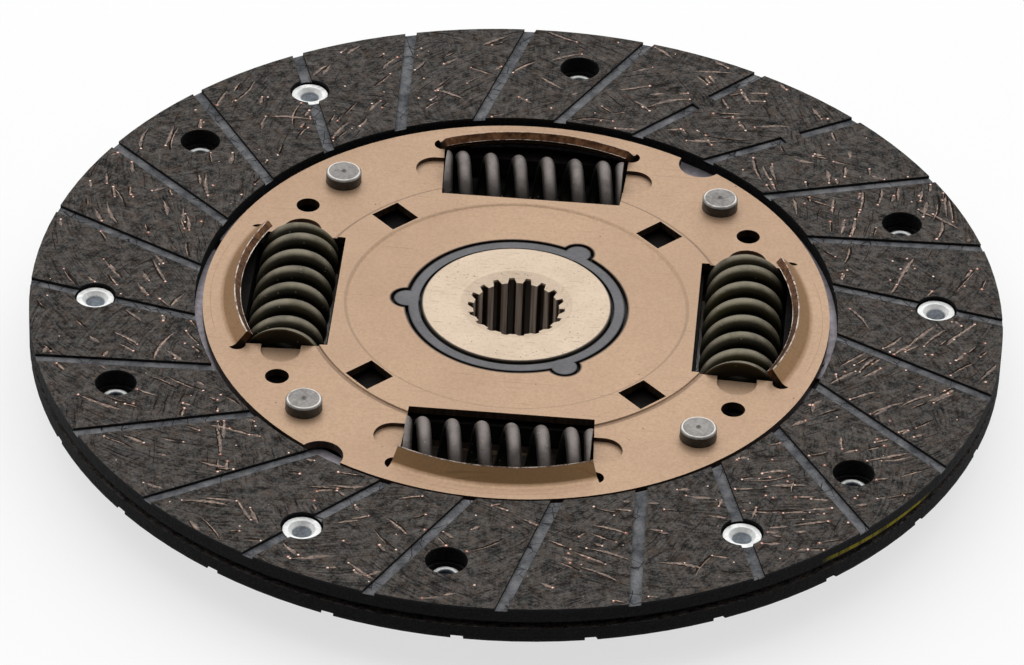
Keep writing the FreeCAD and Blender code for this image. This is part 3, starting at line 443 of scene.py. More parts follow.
def bare_metal(look, place, base):
    """Copper-brown bare metal on walls and on the hoods' sheared edges, and where those edges are. The
    walls' bare metal is painted near black as shade.
    """
    streaks = look.noise(look.stretched(place, (900.0, 900.0, 160.0)), 1.0, 3.0, 0.6)
    sheared = look.mix(look.spread(streaks, 0.32, 0.72), (0.036, 0.014, 0.006), (0.180, 0.084, 0.040))
    wall = look.mix(look.spread(streaks, 0.42, 0.62), (0.014, 0.008, 0.006), (0.055, 0.030, 0.019))
    # Painted shade on bare metal: upright walls, the holes' walls among them, go near black.
    steep = look.spread(look.upward(), 0.15, 0.40, 1.0, 0.0)
    base = look.cover(base, steep, 0.95, wall)
    reach, _, _, height = hood_place(look, place)
    tip, _ = hood_corner(0.0)
    near_tip = look.spread(reach, (tip + 0.05) * MM, (tip + 0.12) * MM, 1.0, 0.0)
    above = look.spread(height, (FRONT_PLATE_TOP + 0.9) * MM, (FRONT_PLATE_TOP + 1.1) * MM)
    bare = look.math("MULTIPLY", near_tip, above)
    return look.mix(bare, base, sheared), bare


def plate_look(name, painted_shade_inside):
    """Tan phosphated sheet with a satin sheen, faint clouds, grain, specks and hairline scratches."""
    look = Look(name, roughness=0.42)
    place = look.place()
    clouds = look.noise(place, 34.0, 3.0, 0.6)
    base = look.mix(look.spread(clouds, 0.3, 0.7), (0.392, 0.256, 0.164), (0.462, 0.310, 0.200))
    grain = look.noise(place, 1500.0, 3.0, 0.7)
    base = look.mix(look.spread(grain, 0.38, 0.72, 0.0, 0.42), base, (0.30, 0.185, 0.110))
    dots = look.specks(place, 340.0, 0.085, 0.39)
    base = look.cover(base, dots, 0.85, (0.070, 0.038, 0.022))
    scratch = look.noise(look.stretched(place, (60.0, 2400.0, 60.0), (0.0, 0.0, 0.6)), 1.0, 1.0)
    base = look.mix(look.spread(scratch, 0.69, 0.73, 0.0, 0.45), base, (0.24, 0.15, 0.09))
    base = hood_marks(look, place, plate_marks(look, place, base))
    base, bare = bare_metal(look, place, base)
    look.feed(look.shader.inputs["Metallic"], look.spread(bare, 0.0, 1.0, 0.50, 0.92))
    if painted_shade_inside:
        # Painted shade: the rear plate's upward faces, seen only through the front plate's windows, go
        # near black.
        normal = look.node("ShaderNodeTexCoord").outputs["Normal"]
        inside = look.spread(look.split(normal)[2], 0.2, 0.5)
        base = look.mix(inside, base, (0.006, 0.005, 0.004))
    look.color(base)
    look.rough(look.spread(grain, 0.3, 0.7, 0.36, 0.52))
    look.bump(look.total((grain, 0.5), (look.noise(place, 260.0, 2.0), 1.0)), 0.00006, 0.6)
    return look.material


def steel_look(name, dark, light, roughness, metallic, grain_size, bump, specular=0.5):
    """Bare or oiled steel: two tones in a fine grain, a few darker patches and a slight unevenness."""
    look = Look(name, roughness=roughness, metallic=metallic, Specular_IOR_Level=specular)
    place = look.place()
    grain = look.noise(place, grain_size, 3.0, 0.6)
    tone = look.total((look.noise(place, 150.0, 4.0, 0.6), 0.55), (grain, 0.45))
    look.color(look.mix(look.spread(tone, 0.35, 0.65), dark, light))
    look.rough(look.spread(tone, 0.3, 0.7, roughness + 0.08, roughness - 0.06))
    look.bump(grain, bump, 0.7)
    return look.material


def spring_look(name, dark, light, tint, crest, roughness, outer_radius):
    """Shot-peened spring wire: dimples, crests painted lighter in patches as a highlight, a tinted film
    of oil, and painted shade within the coil.
    """
    look = Look(name, roughness=roughness, metallic=0.5, Specular_IOR_Level=0.25)
    place = look.place()
    patches = look.noise(place, 190.0, 3.0, 0.6)
    peened = look.cells(place, 2300.0)
    film = look.spread(look.noise(place, 75.0, 2.0), 0.42, 0.62)
    base = look.mix(look.spread(patches, 0.32, 0.68), dark, light)
    base = look.cover(base, film, 0.6, tint)
    x, y, height = look.split(place)
    farther = look.math("MAXIMUM", look.math("ABSOLUTE", x), look.math("ABSOLUTE", y))
    sideways = look.math("SUBTRACT", farther, SPRING_CIRCLE * MM)
    reach = look.length(sideways, look.math("SUBTRACT", height, SPRING_HEIGHT * MM))
    # Painted highlight: the wire's outermost side is lighter, in patches.
    worn = look.spread(reach, (outer_radius - 0.60) * MM, (outer_radius - 0.02) * MM)
    worn = look.math("MULTIPLY", worn, look.spread(patches, 0.30, 0.55, 0.40, 0.95))
    base = look.mix(worn, base, crest)
    # Painted shade: the wire's side towards the coil's axis goes near black.
    coil_shade = look.spread(reach, (outer_radius - 2.6) * MM, (outer_radius - 0.8) * MM, 1.0, 0.0)
    base = look.cover(base, coil_shade, 0.95, (0.008, 0.007, 0.005))
    look.color(look.cover(base, look.specks(place, 800.0, 0.18, 0.42), 0.4, (0.42, 0.38, 0.32)))
    look.rough(look.spread(peened, 0.1, 0.6, roughness - 0.05, roughness + 0.1))
    look.bump(peened, 0.00004, 0.6)
    return look.material


def pin_look():
    """Turned steel pins: grey ends with a bright rim in patches, and sides painted dark as shade."""
    look = Look("pin_steel", roughness=0.42, metallic=0.5)
    place = look.place()
    x, y, _ = look.split(place)
    beside = [look.math("SUBTRACT", look.math("ABSOLUTE", value), PIN_PLACE * MM) for value in (x, y)]
    radius = look.length(*beside)
    grain = look.noise(place, 1300.0, 3.0, 0.65)
    patches = look.noise(place, 260.0, 3.0, 0.6)
    tone = look.total((grain, 0.5), (patches, 0.5))
    end = look.mix(look.spread(tone, 0.38, 0.62), (0.140, 0.130, 0.122), (0.275, 0.260, 0.245))
    ring = look.band(radius, (PIN_RIM - 0.18) * MM, (PIN_RIM + 0.14) * MM, 0.07 * MM)
    worn = look.math("MULTIPLY", ring, look.spread(patches, 0.36, 0.50, 0.25, 0.9))
    end = look.mix(worn, end, (0.82, 0.78, 0.73))
    # Painted shade: the upright sides are darker than the ends.
    side = look.mix(look.spread(tone, 0.35, 0.65), (0.030, 0.028, 0.026), (0.100, 0.095, 0.090))
    look.color(look.mix(look.spread(look.upward(), 0.25, 0.6), side, end))
    look.rough(look.spread(tone, 0.3, 0.7, 0.48, 0.36))
    look.bump(grain, 0.00005, 0.8)
    return look.material


def rivet_look(name, start):
    """Plated rivets: a bright dished head whose closed recess is bluish and dull."""
    look = Look(name, roughness=0.36, metallic=0.15)
    place = look.place()
    grain = look.noise(place, 1500.0, 3.0, 0.6)
    patches = look.noise(place, 420.0, 3.0, 0.6)
    tone = look.total((grain, 0.45), (patches, 0.55))
    bright = look.mix(look.spread(tone, 0.36, 0.60), (0.66, 0.67, 0.66), (0.93, 0.94, 0.92))
    recess = look.mix(look.spread(tone, 0.36, 0.62), (0.020, 0.026, 0.034), (0.110, 0.135, 0.165))
    away = look.from_rivet(place, start)
    inner = look.spread(away, (RIVET_RECESS - 0.05) * MM, (RIVET_RECESS + 0.25) * MM, 1.0, 0.0)
    look.color(look.mix(inner, bright, recess))
    look.rough(look.spread(tone, 0.3, 0.7, 0.42, 0.30))
    look.bump(grain, 0.00004, 0.8)
    return look.material


def segment_look():
    """Rolled spring steel, painted near black round the rivets' hollow ends as shade."""
    look = Look("segment_steel", roughness=0.42, metallic=0.55)
    place = look.place()
    patches = look.noise(place, 150.0, 4.0, 0.6)
    grain = look.noise(place, 700.0, 3.0, 0.6)
    tone = look.total((patches, 0.55), (grain, 0.45))
    base = look.mix(look.spread(tone, 0.35, 0.65), (0.17, 0.155, 0.170), (0.36, 0.33, 0.36))
    # Painted shade: the sheet seen down the facings' access holes goes near black.
    for start in (RIVET_ANGLE, RIVET_ANGLE + RIVET_SPREAD):
        away = look.from_rivet(place, start)
        near = look.spread(away, (HOLE_RADIUS + 0.05) * MM, (HOLE_RADIUS + 0.65) * MM, 1.0, 0.0)
        base = look.mix(near, base, (0.010, 0.009, 0.009))
    look.color(base)
    look.rough(look.spread(tone, 0.3, 0.7, 0.5, 0.36))
    look.bump(grain, 0.00003, 0.7)
    return look.material


def hub_look():
    """Cream phosphated steel, faced in the lathe, marked by handling, with a brown broached bore. Painted
    shade: near black at the face's outer edge and in the spaces between the bore's teeth.
    """
    look = Look("hub_steel", roughness=0.42, metallic=0.2)
    place = look.place()
    radius = look.from_axis(place)
    height = look.split(place)[2]
    clouds = look.noise(place, 120.0, 4.0, 0.6)
    base = look.mix(look.spread(clouds, 0.3, 0.7), (0.580, 0.446, 0.322), (0.690, 0.550, 0.410))
    rings = look.noise(look.join(look.math("MULTIPLY", radius, 5200.0), 0.0, 0.0), 1.0, 2.0)
    base = look.mix(look.spread(rings, 0.5, 0.8, 0.0, 0.24), base, (0.44, 0.33, 0.23))
    grain = look.noise(place, 1400.0, 3.0, 0.7)
    base = look.mix(look.spread(grain, 0.50, 0.78, 0.0, 0.45), base, (0.36, 0.26, 0.18))
    for scale, size, share in ((520.0, 0.13, 0.44), (900.0, 0.17, 0.46)):
        base = look.cover(base, look.specks(place, scale, size, share), 0.8, (0.13, 0.085, 0.055))
    for turn in (-0.5, 0.9):
        hair = look.noise(look.stretched(place, (260.0, 2300.0, 60.0), (0.0, 0.0, turn)), 1.0, 2.0)
        base = look.mix(look.spread(hair, 0.66, 0.70, 0.0, 0.5), base, (0.27, 0.18, 0.12))
    # Painted shade: near black round the face's outer edge, where the gap to the bush lies.
    gap_shade = look.spread(radius, (HUB_RADIUS - 0.45) * MM, (HUB_RADIUS - 0.12) * MM)
    base = look.cover(base, gap_shade, 0.94, (0.012, 0.009, 0.007))
    in_bore = look.spread(radius, (SPLINE_MAJOR + 0.2) * MM, (SPLINE_MAJOR + 0.35) * MM, 1.0, 0.0)
    below = look.spread(height, (HUB_LENGTH - 1.4) * MM, (HUB_LENGTH - 1.1) * MM, 1.0, 0.0)
    drawn = look.noise(look.stretched(place, (1100.0, 1100.0, 40.0)), 1.0, 2.0)
    land = look.mix(look.spread(drawn, 0.35, 0.65), (0.22, 0.165, 0.125), (0.62, 0.52, 0.43))
    # Painted shade: the spaces between the bore's teeth go near black.
    flank = look.spread(radius, (SPLINE_MINOR + 0.05) * MM, (SPLINE_MINOR + 0.35) * MM)
    bore = look.mix(flank, land, (0.030, 0.015, 0.008))
    wall = look.spread(look.upward(), 0.2, 0.6, 1.0, 0.0)
    inner = look.math("MULTIPLY", in_bore, look.math("MULTIPLY", below, wall))
    look.color(look.mix(inner, base, bore))
    look.rough(look.spread(clouds, 0.3, 0.7, 0.36, 0.5))
    look.bump(look.total((rings, 0.6), (grain, 1.0)), 0.00003, 0.6)
    return look.material


def bush_look():
    """Moulded friction plastic, blue-grey, with a fine matt grain, and painted shade: near black along
    its outline and at its mouth.
    """
    look = Look("bush_plastic", roughness=0.55)
    place = look.place()
    grain = look.noise(place, 1800.0, 3.0, 0.6)
    tone = look.total((grain, 0.5), (look.noise(place, 160.0, 2.0), 0.5))
    base = look.mix(look.spread(tone, 0.35, 0.65), (0.070, 0.068, 0.074), (0.130, 0.125, 0.133))
    # Painted shade: near black along the outline that the bush and its lugs share, and at its mouth.
    edge = look.spread(bush_outline(look, place), 0.05 * MM, 0.38 * MM, 1.0, 0.0)
    radius = look.from_axis(place)
    mouth = look.spread(radius, (BUSH_MOUTH + 0.02) * MM, (BUSH_MOUTH + 0.2) * MM, 1.0, 0.0)
    look.color(look.mix(look.math("MAXIMUM", edge, mouth), base, (0.008, 0.008, 0.009)))
    look.bump(grain, 0.00004, 0.7)
    return look.material


def copper_look(name, dull, bright, spread, metallic=0.3, patch_scale=1100.0):
    """Copper-coloured metal that shows only in places, with a dull colour between them."""
    look = Look(name, roughness=0.42, metallic=metallic)
    place = look.place()
    patches = look.noise(place, patch_scale, 4.0, 0.8)
    look.color(look.mix(look.spread(patches, 0.5 - spread, 0.5 + spread), dull, bright))
    look.bump(look.noise(place, 3000.0, 2.0), 0.00005, 0.8)
    return look.material


def crack_look():
    """The torn dark hollows along the strands: matt, so that they stay dark under a bright sky."""
    look = Look("crack_dark", roughness=0.95, Specular_IOR_Level=0.0)
    patches = look.noise(look.place(), 1100.0, 4.0, 0.8)
    look.color(look.mix(look.spread(patches, 0.3, 0.7), (0.003, 0.002, 0.002), (0.040, 0.030, 0.024)))
    return look.material


def floor_look():
    """White paper: white where it is seen, dark under the disc, and it throws back less light."""
    look = Look("floor_paper", roughness=0.95, Specular_IOR_Level=0.1)
    place = look.place()
    look.color(look.mix(look.noise(place, 700.0, 2.0), (0.90, 0.91, 0.90), (0.93, 0.94, 0.93)))
    rays = look.node("ShaderNodeLightPath").outputs
    seen = look.math("MAXIMUM", rays["Is Glossy Ray"], rays["Is Transmission Ray"])
    seen = look.math("MAXIMUM", rays["Is Camera Ray"], seen)
    glow = look.node("ShaderNodeEmission", inputs={"Color": (1.0, 1.0, 1.0), "Strength": 1.0})
    dim = look.node("ShaderNodeBsdfDiffuse", inputs={"Color": (0.45, 0.45, 0.45)})
    dark_to, white_from = 76.0 * MM, 92.0 * MM
    open_floor = look.spread(look.from_axis(place), dark_to, white_from, 0.0, 0.68)
    bright = look.node("ShaderNodeMixShader", inputs={
        0: open_floor, 1: look.shader.outputs[0], 2: glow.outputs[0]})
    whole = look.node("ShaderNodeMixShader", inputs={
        0: seen, 1: dim.outputs[0], 2: bright.outputs[0]})
    look.feed(look.tree.nodes["Material Output"].inputs["Surface"], whole.outputs[0])
    look.material.cycles.emission_sampling = "NONE"
    return look.material


def dress(names, material):
    """Gives each named CAD object one material."""
    for name in names:
        slots = NODES[name].data.materials
        slots.clear()
        slots.append(material)


def new_piece(name, mesh, materials, body):
    """A new object that moves with a CAD body and takes its finish from the given materials."""
    piece = bpy.data.objects.new(name, mesh)
    bpy.context.scene.collection.objects.link(piece)
    for material in materials:
        mesh.materials.append(material)
    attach(piece, body)
    return piece


def facing_spot(radius, degrees):
    """A point of the disc's plane, from its distance and its angle."""
    turn = math.radians(degrees)
    return Vector((radius * math.cos(turn), radius * math.sin(turn), 0.0))


def facing_holes(worn):
    """Centres of one facing's stepped and access holes, in its own coordinates."""
    holes = []
    for index in range(6):
        if not (worn and index == MISSING_RIVET):
            holes.append(facing_spot(RIVET_CIRCLE, RIVET_ANGLE + index * RIVET_STEP))
        holes.append(facing_spot(RIVET_CIRCLE, RIVET_ANGLE + RIVET_SPREAD + index * RIVET_STEP))
    return holes


def on_lining(point, holes, margin):
    """Whether the point lies on the facing's working face, clear of its edges, grooves and holes."""
    radius = math.hypot(point.x, point.y)
    if not FACING_INNER + margin < radius < FACING_OUTER - margin:
        return False
    if any((point - hole).length < HOLE_RADIUS + margin for hole in holes):
        return False
    lean = math.degrees(math.asin(GROOVE_OFFSET / radius))
    turn = math.degrees(math.atan2(point.y, point.x)) - lean - GROOVE_DIRECTION
    away = (turn + GROOVE_STEP / 2) % GROOVE_STEP - GROOVE_STEP / 2
    return abs(math.radians(away)) * radius > GROOVE_HALF_WIDTH + margin


def strand_path(draw, length):
    """Points along one strand. The wound yarn swings between the facing's edges as it goes round."""
    angle = draw.uniform(0.0, 2 * math.pi)
    offset = draw.uniform(FACING_INNER + 1.0, FACING_OUTER - 1.0) - YARN_MIDDLE
    phase = math.asin(offset / YARN_SWEEP)
    # On one side of the disc most strands lead outward, on the other side most lead inward.
    if draw.random() > 0.5 + 0.45 * math.cos(angle + math.radians(20.0)):
        phase = math.pi - phase
    steps = max(4, int(length / POINT_SPACING))
    swing = draw.uniform(0.7, 1.2) * YARN_SWING
    points = []
    for _ in range(steps + 1):
        radius = YARN_MIDDLE + YARN_SWEEP * math.sin(phase)
        points.append(Vector((radius * math.cos(angle), radius * math.sin(angle), 0.0)))
        slope = swing * math.cos(phase)
        along = length / steps / math.sqrt(1.0 + slope * slope)
        phase += along * swing / YARN_SWEEP
        angle += along / radius
    ahead = (points[-1] - points[0]).normalized()
    side = Vector((-ahead.y, ahead.x, 0.0))
    curve = draw.uniform(-0.04, 0.04)
    for index, point in enumerate(points):
        away = (index / steps - 0.5) * length
        point += side * (curve * away * away + draw.uniform(-0.06, 0.06))
    return points


def beside_path(points, distance):
    """The same path moved sideways by a distance."""
    moved = []
    for index, point in enumerate(points):
        ahead = points[min(index + 1, len(points) - 1)] - points[max(index - 1, 0)]
        moved.append(point + Vector((-ahead.y, ahead.x, 0.0)).normalized() * distance)
    return moved


def add_ribbon(mesh, points, width, rise, slot, draw):
    """A flat ragged strand that tapers to both ends and swells a little out of the face."""
    rows = []
    for index, point in enumerate(points):
        ahead = points[min(index + 1, len(points) - 1)] - points[max(index - 1, 0)]
        side = Vector((-ahead.y, ahead.x, 0.0)).normalized()
        share = index / (len(points) - 1)
        taper = 0.12 + 0.88 * max(0.0, math.sin(math.pi * share ** 1.4)) ** 0.7
        low, high = Vector((0.0, 0.0, rise * 0.3)), Vector((0.0, 0.0, rise * (0.4 + 0.6 * taper)))
        left, right = (side * (width * taper / 2 * draw.uniform(0.6, 1.35)) for _ in range(2))
        places = (point + left + low, point + high, point - right + low)
        rows.append([mesh.verts.new(place) for place in places])
    for before, after in zip(rows, rows[1:]):
        for side in (0, 1):
            face = mesh.faces.new((before[side], before[side + 1], after[side + 1], after[side]))
            face.material_index = slot
            face.smooth = True


def add_fleck(mesh, centre, size, rise, slot, draw):
    """The cut end of a strand: a small low dome of six sides."""
    top = mesh.verts.new(centre + Vector((0.0, 0.0, rise)))
    ring = []
    start = draw.uniform(0.0, 2 * math.pi)
    for index in range(6):
        turn = start + index * 2 * math.pi / 6
        reach = size * draw.uniform(0.65, 1.3)
        corner = Vector((reach * math.cos(turn), reach * math.sin(turn), 0.01))
        ring.append(mesh.verts.new(centre + corner))
    for index in range(6):
        face = mesh.faces.new((top, ring[index], ring[(index + 1) % 6]))
        face.material_index = slot


def clear_runs(points, holes):
    """The stretches of a path that stay on the lining's face."""
    run = []
    for point in points + [None]:
        if point is not None and on_lining(point, holes, 0.35):
            run.append(point)
            continue
        if len(run) > 3:
            yield run
        run = []


def add_end(mesh, point, draw):
    """A bright cut end in a rust-red stain."""
    add_fleck(mesh, point, draw.uniform(0.30, 0.50), STAIN_RISE, STAIN, draw)
    raised = point + Vector((0.0, 0.0, 0.030))
    add_fleck(mesh, raised, draw.uniform(0.14, 0.27), END_RISE, CUT_END, draw)


def add_strand(mesh, holes, draw):
    """One strand: a dark hollow beside it, often a dull smear, a bright core, and mostly a cut end."""
    points = strand_path(draw, draw.choice(STRAND_LENGTHS) * draw.uniform(0.8, 1.25))
    wide = draw.random() < 0.62
    for run in clear_runs(points, holes):
        edge = draw.choice((-1, 1)) * draw.uniform(0.22, 0.40)
        add_ribbon(mesh, beside_path(run, edge), draw.uniform(0.4, 0.75), HOLLOW_RISE, CRACK, draw)
        if wide:
            add_ribbon(mesh, run, draw.uniform(0.55, 1.0), SMEAR_RISE, SMEAR, draw)
        core = run[draw.randint(0, 1):len(run) - draw.randint(0, len(run) // 3)]
        if len(core) > 2:
            add_ribbon(mesh, core, draw.uniform(0.12, 0.34), STRAND_RISE, STRAND, draw)
        if draw.random() < 0.75:
            add_end(mesh, run[draw.choice((0, -1))], draw)


def add_dot(mesh, holes, draw):
    """A single cut end, or a smaller fleck of copper, anywhere on the face."""
    radius = draw.uniform(FACING_INNER + 1.0, FACING_OUTER - 1.0)
    centre = facing_spot(radius, draw.uniform(0.0, 360.0))
    if not on_lining(centre, holes, 0.5):
        return
    if draw.random() < 0.45:
        add_end(mesh, centre, draw)
    else:
        size = draw.uniform(0.12, 0.24)
        add_fleck(mesh, centre, size, FLECK_RISE, draw.choice((STRAND, CUT_END)), draw)


def facing_place(rear):
    """From a facing's own millimetres, on its working face, to the disc's metres."""
    if rear:
        turn = Matrix.Rotation(math.radians(REAR_TURN), 4, "Z") @ Matrix.Rotation(math.pi, 4, "X")
        turn = Matrix.Translation((0.0, 0.0, REAR_FACING_BACK)) @ turn
    else:
        turn = Matrix.Translation((0.0, 0.0, FRONT_FACING_BACK))
    return Matrix.Scale(MM, 4) @ turn @ Matrix.Translation((0.0, 0.0, FACING_THICKNESS))


def add_strands(name, rear, seed, materials):
    """Cracks, copper strands and single cut ends in one facing's working face."""
    draw = random.Random(seed)
    holes = facing_holes(worn=not rear)
    mesh = bmesh.new()
    for _ in range(CRACKS):
        points = strand_path(draw, draw.choice(CRACK_LENGTHS) * draw.uniform(0.8, 1.25))
        for run in clear_runs(points, holes):
            add_ribbon(mesh, run, draw.uniform(0.10, 0.26), CRACK_RISE, CRACK, draw)
    for _ in range(STRANDS):
        add_strand(mesh, holes, draw)
    for _ in range(DOTS):
        add_dot(mesh, holes, draw)
    mesh.transform(facing_place(rear))
    bmesh.ops.recalc_face_normals(mesh, faces=mesh.faces)
    data = bpy.data.meshes.new(name)
    mesh.to_mesh(data)
    mesh.free()
    return new_piece(name, data, materials, "disc_group")


def soften_plate(material):
    """The front plate with its raised band's edges drawn out to soft slopes, as in a pressed sheet."""
    mesh = NODES["front_cover_plate"].data.copy()
    mesh.materials.clear()
    work = bmesh.new()
    work.from_mesh(mesh)
    bmesh.ops.remove_doubles(work, verts=work.verts, dist=0.000002)
    draw_out_step(work, BAND_OUTER, -0.16, 0.18)
    draw_out_step(work, BAND_INNER, 0.80, -0.10)
    smooth_faces(work)
    work.to_mesh(mesh)
    work.free()
    if "custom_normal" in mesh.attributes:
        mesh.attributes.remove(mesh.attributes["custom_normal"])
    plate = new_piece("front_plate_pressed", mesh, [material], "disc_group")
    weigh = plate.modifiers.new("flat_faces_stay_flat", "WEIGHTED_NORMAL")
    weigh.keep_sharp = True
    graph = bpy.context.evaluated_depsgraph_get()
    plate.data = bpy.data.meshes.new_from_object(
        plate.evaluated_get(graph), preserve_all_data_layers=True, depsgraph=graph)
    plate.modifiers.clear()
    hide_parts("front_cover_plate")


def draw_out_step(work, circle, top_step, foot_step):
    """Turns the upright step at one circle into a slope, from a shifted top edge to a shifted foot."""
    def on_step(vertex):
        near = abs(math.hypot(vertex.co.x, vertex.co.y) / MM - circle) < 0.06
        return near and vertex.co.z / MM > FRONT_PLATE_TOP - 0.05

    walls = [face for face in work.faces if all(on_step(vertex) for vertex in face.verts)]
    edges = list(dict.fromkeys(edge for face in walls for edge in face.edges))
    columns = {}
    for edge in edges:
        first, second = sorted(edge.verts, key=lambda vertex: -vertex.co.z)
        if (first.co - second.co).xy.length < 0.01 * MM:
            columns[first] = second
    crest = [edge for edge in edges if all(vertex in columns for vertex in edge.verts)]
    bmesh.ops.delete(work, geom=walls, context="FACES_ONLY")
    rows = {}
    for top, foot in columns.items():
        between = [work.verts.new(top.co) for _ in range(SLOPE_ROWS - 1)]
        rows[top] = [top, *between, foot]
        for index, vertex in enumerate(rows[top]):
            share = index / SLOPE_ROWS
            fall = share * share * (3 - 2 * share)
            shift_out(vertex, circle, top_step + (foot_step - top_step) * share)
            vertex.co.z = (BAND_TOP + (FRONT_PLATE_TOP - BAND_TOP) * fall) * MM
    for edge in crest:
        first, second = (rows[vertex] for vertex in edge.verts)
        for index in range(SLOPE_ROWS):
            corners = (first[index], first[index + 1], second[index + 1], second[index])
            work.faces.new(corners)


def shift_out(vertex, radius, step):
    """Moves a point of the band's edge out or in. On a window's side it stays on that side."""
    x, y = vertex.co.x / MM, vertex.co.y / MM
    target = radius + step
    small = min(abs(x), abs(y))
    if abs(small - WINDOW_SIDE) < 0.3:
        large = math.sqrt(target * target - small * small) * MM
        if abs(x) > abs(y):
            vertex.co.x = math.copysign(large, x)
        else:
            vertex.co.y = math.copysign(large, y)
        return
    vertex.co.x *= target / radius
    vertex.co.y *= target / radius


def smooth_faces(work):
    """Smooth shading, with the edges kept sharp where two faces meet at a wide angle."""
    bmesh.ops.recalc_face_normals(work, faces=work.faces)
    for face in work.faces:
        face.smooth = True
    sharp = math.radians(SHARP_ANGLE)
    for edge in work.edges:
        edge.smooth = len(edge.link_faces) == 2 and edge.calc_face_angle(0.0) < sharp


def hood_corner(depth):
    """Distance from the hood's axis and height of the free edge, at a depth into the sheet."""
    lean = math.radians(HOOD_LEAN)
    reach = HOOD_FOOT - HOOD_AXIS - HOOD_BEND * math.sin(lean) - HOOD_STRAIGHT * math.cos(lean)
    rise = HOOD_BEND * (1 - math.cos(lean)) + HOOD_STRAIGHT * math.sin(lean)
    return reach - depth * math.sin(lean), FRONT_PLATE_TOP + rise - depth * math.cos(lean)


def highlight_corner(angle, depth, back, half):
    """Three points across a corner of a hood's free edge, where a bright strip is a painted highlight, at
    an angle about the hood's axis.
    """
    lean = math.radians(HOOD_LEAN)
    reach, height = hood_corner(depth)
    lift = 0.02 if back < 0 else -0.02
    for along, inward in ((half, 0.0), (-0.02, 0.0), (-0.02, half)):
        # One side lies on the hood's face and runs back from the edge, the other on the edge.
        out = along * math.cos(lean) + inward * math.sin(lean) * back
        down = -along * math.sin(lean) + inward * math.cos(lean) * back
        place = reach + out + lift * math.sin(lean)
        rise = height + down + lift * math.cos(lean)
        yield HOOD_AXIS + place * math.cos(angle), place * math.sin(angle), rise


def add_hood_edges(material):
    """Bright strips along the corners of the four hoods' sheared free edges: painted highlights. The top
    one's strips are narrowest.
    """
    work = bmesh.new()
    draw = random.Random(5)
    for quarter in range(4):
        turn = Matrix.Rotation(math.radians(90.0 * quarter), 4, "Z")
        for depth, back in ((0.0, -1), (SHEET, 1)):
            rows = []
            for step in range(EDGE_STEPS + 1):
                angle = math.radians(HOOD_HALF_ANGLE * (step / (EDGE_STEPS / 2) - 1.0))
                half = draw.uniform(0.12, 0.26) * (0.4 if quarter == TOP_HOOD else 1.0)
                rows.append([work.verts.new(place) for place in highlight_corner(angle, depth, back, half)])
            for vertex in (vertex for row in rows for vertex in row):
                vertex.co = turn @ vertex.co
            for before, after in zip(rows, rows[1:]):
                for side in (0, 1):
                    work.faces.new((before[side], before[side + 1], after[side + 1], after[side]))
    work.transform(Matrix.Scale(MM, 4))
    data = bpy.data.meshes.new("hood_edges")
    work.to_mesh(data)
    work.free()
    return new_piece("hood_edges", data, [material], "disc_group")


def add_floor():
    """A floor far wider than the view, just below the disc."""
    mesh = bpy.data.meshes.new("floor")
    half = 6.0
    corners = [(-half, -half, 0.0), (half, -half, 0.0), (half, half, 0.0), (-half, half, 0.0)]
    mesh.from_pydata(corners, [], [(0, 1, 2, 3)])
    mesh.materials.append(floor_look())
    floor = bpy.data.objects.new("floor", mesh)
    bpy.context.scene.collection.objects.link(floor)
    floor.location.z = -0.0002
    floor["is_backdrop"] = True


def add_lamp(name, place, target, size, power):
    data = bpy.data.lights.new(name, "AREA")
    data.shape = "RECTANGLE"
    data.size, data.size_y = size
    data.energy = power
    lamp = bpy.data.objects.new(name, data)
    bpy.context.scene.collection.objects.link(lamp)
    lamp.location = place
    lamp.rotation_euler = (Vector(target) - Vector(place)).to_track_quat("-Z", "Y").to_euler()


def light_scene():
    """Soft studio light: a bright surround above and behind that falls off to a dim one in front."""
    world = bpy.data.worlds.new("surround")
    bpy.context.scene.world = world
    world.use_nodes = True
    tree = world.node_tree
    direction = tree.nodes.new("ShaderNodeTexCoord")
    behind = tree.nodes.new("ShaderNodeVectorMath")
    behind.operation = "DOT_PRODUCT"
    tilt = math.radians(58.0)
    behind.inputs[1].default_value = (-0.05, math.sin(tilt), math.cos(tilt))
    level = tree.nodes.new("ShaderNodeMapRange")
    level.interpolation_type = "SMOOTHSTEP"
    for key, value in (("From Min", -0.15), ("From Max", 0.55), ("To Min", 0.07), ("To Max", 1.12)):
        level.inputs[key].default_value = value
    tree.links.new(direction.outputs["Generated"], behind.inputs[0])
    tree.links.new(behind.outputs["Value"], level.inputs["Value"])
    tree.links.new(level.outputs[0], tree.nodes["Background"].inputs["Strength"])
    tree.nodes["Background"].inputs["Color"].default_value = (1.0, 1.0, 1.0, 1.0)
    add_lamp("lamp_top", (-0.15, 0.55, 1.4), (0.0, 0.0, 0.0), (2.4, 2.0), 12.0)


def add_camera():
    """The photograph's view, worked out from the facing's circles and rivets."""
    azimuth, elevation, roll = map(math.radians, (VIEW_AZIMUTH, VIEW_ELEVATION, VIEW_ROLL))
    flat = math.cos(elevation)
    away = Vector((math.sin(azimuth) * flat, -math.cos(azimuth) * flat, math.sin(elevation)))
    level = Vector((math.cos(azimuth), math.sin(azimuth), 0.0))
    right = level * math.cos(roll) + away.cross(level) * math.sin(roll)
    up = away.cross(right)
    data = bpy.data.cameras.new("camera")
    data.sensor_fit = "HORIZONTAL"
    data.sensor_width = SENSOR_WIDTH
    data.lens = SENSOR_WIDTH * FOCAL_PIXELS / PICTURE_WIDTH
    data.clip_start = 0.01
    camera = bpy.data.objects.new("camera", data)
    bpy.context.scene.collection.objects.link(camera)
    target = Vector(CAMERA_TARGET) * MM
    turn = Matrix((right, up, away)).transposed().to_4x4()
    camera.matrix_world = Matrix.Translation(target + away * CAMERA_DISTANCE * MM) @ turn
    bpy.context.scene.camera = camera


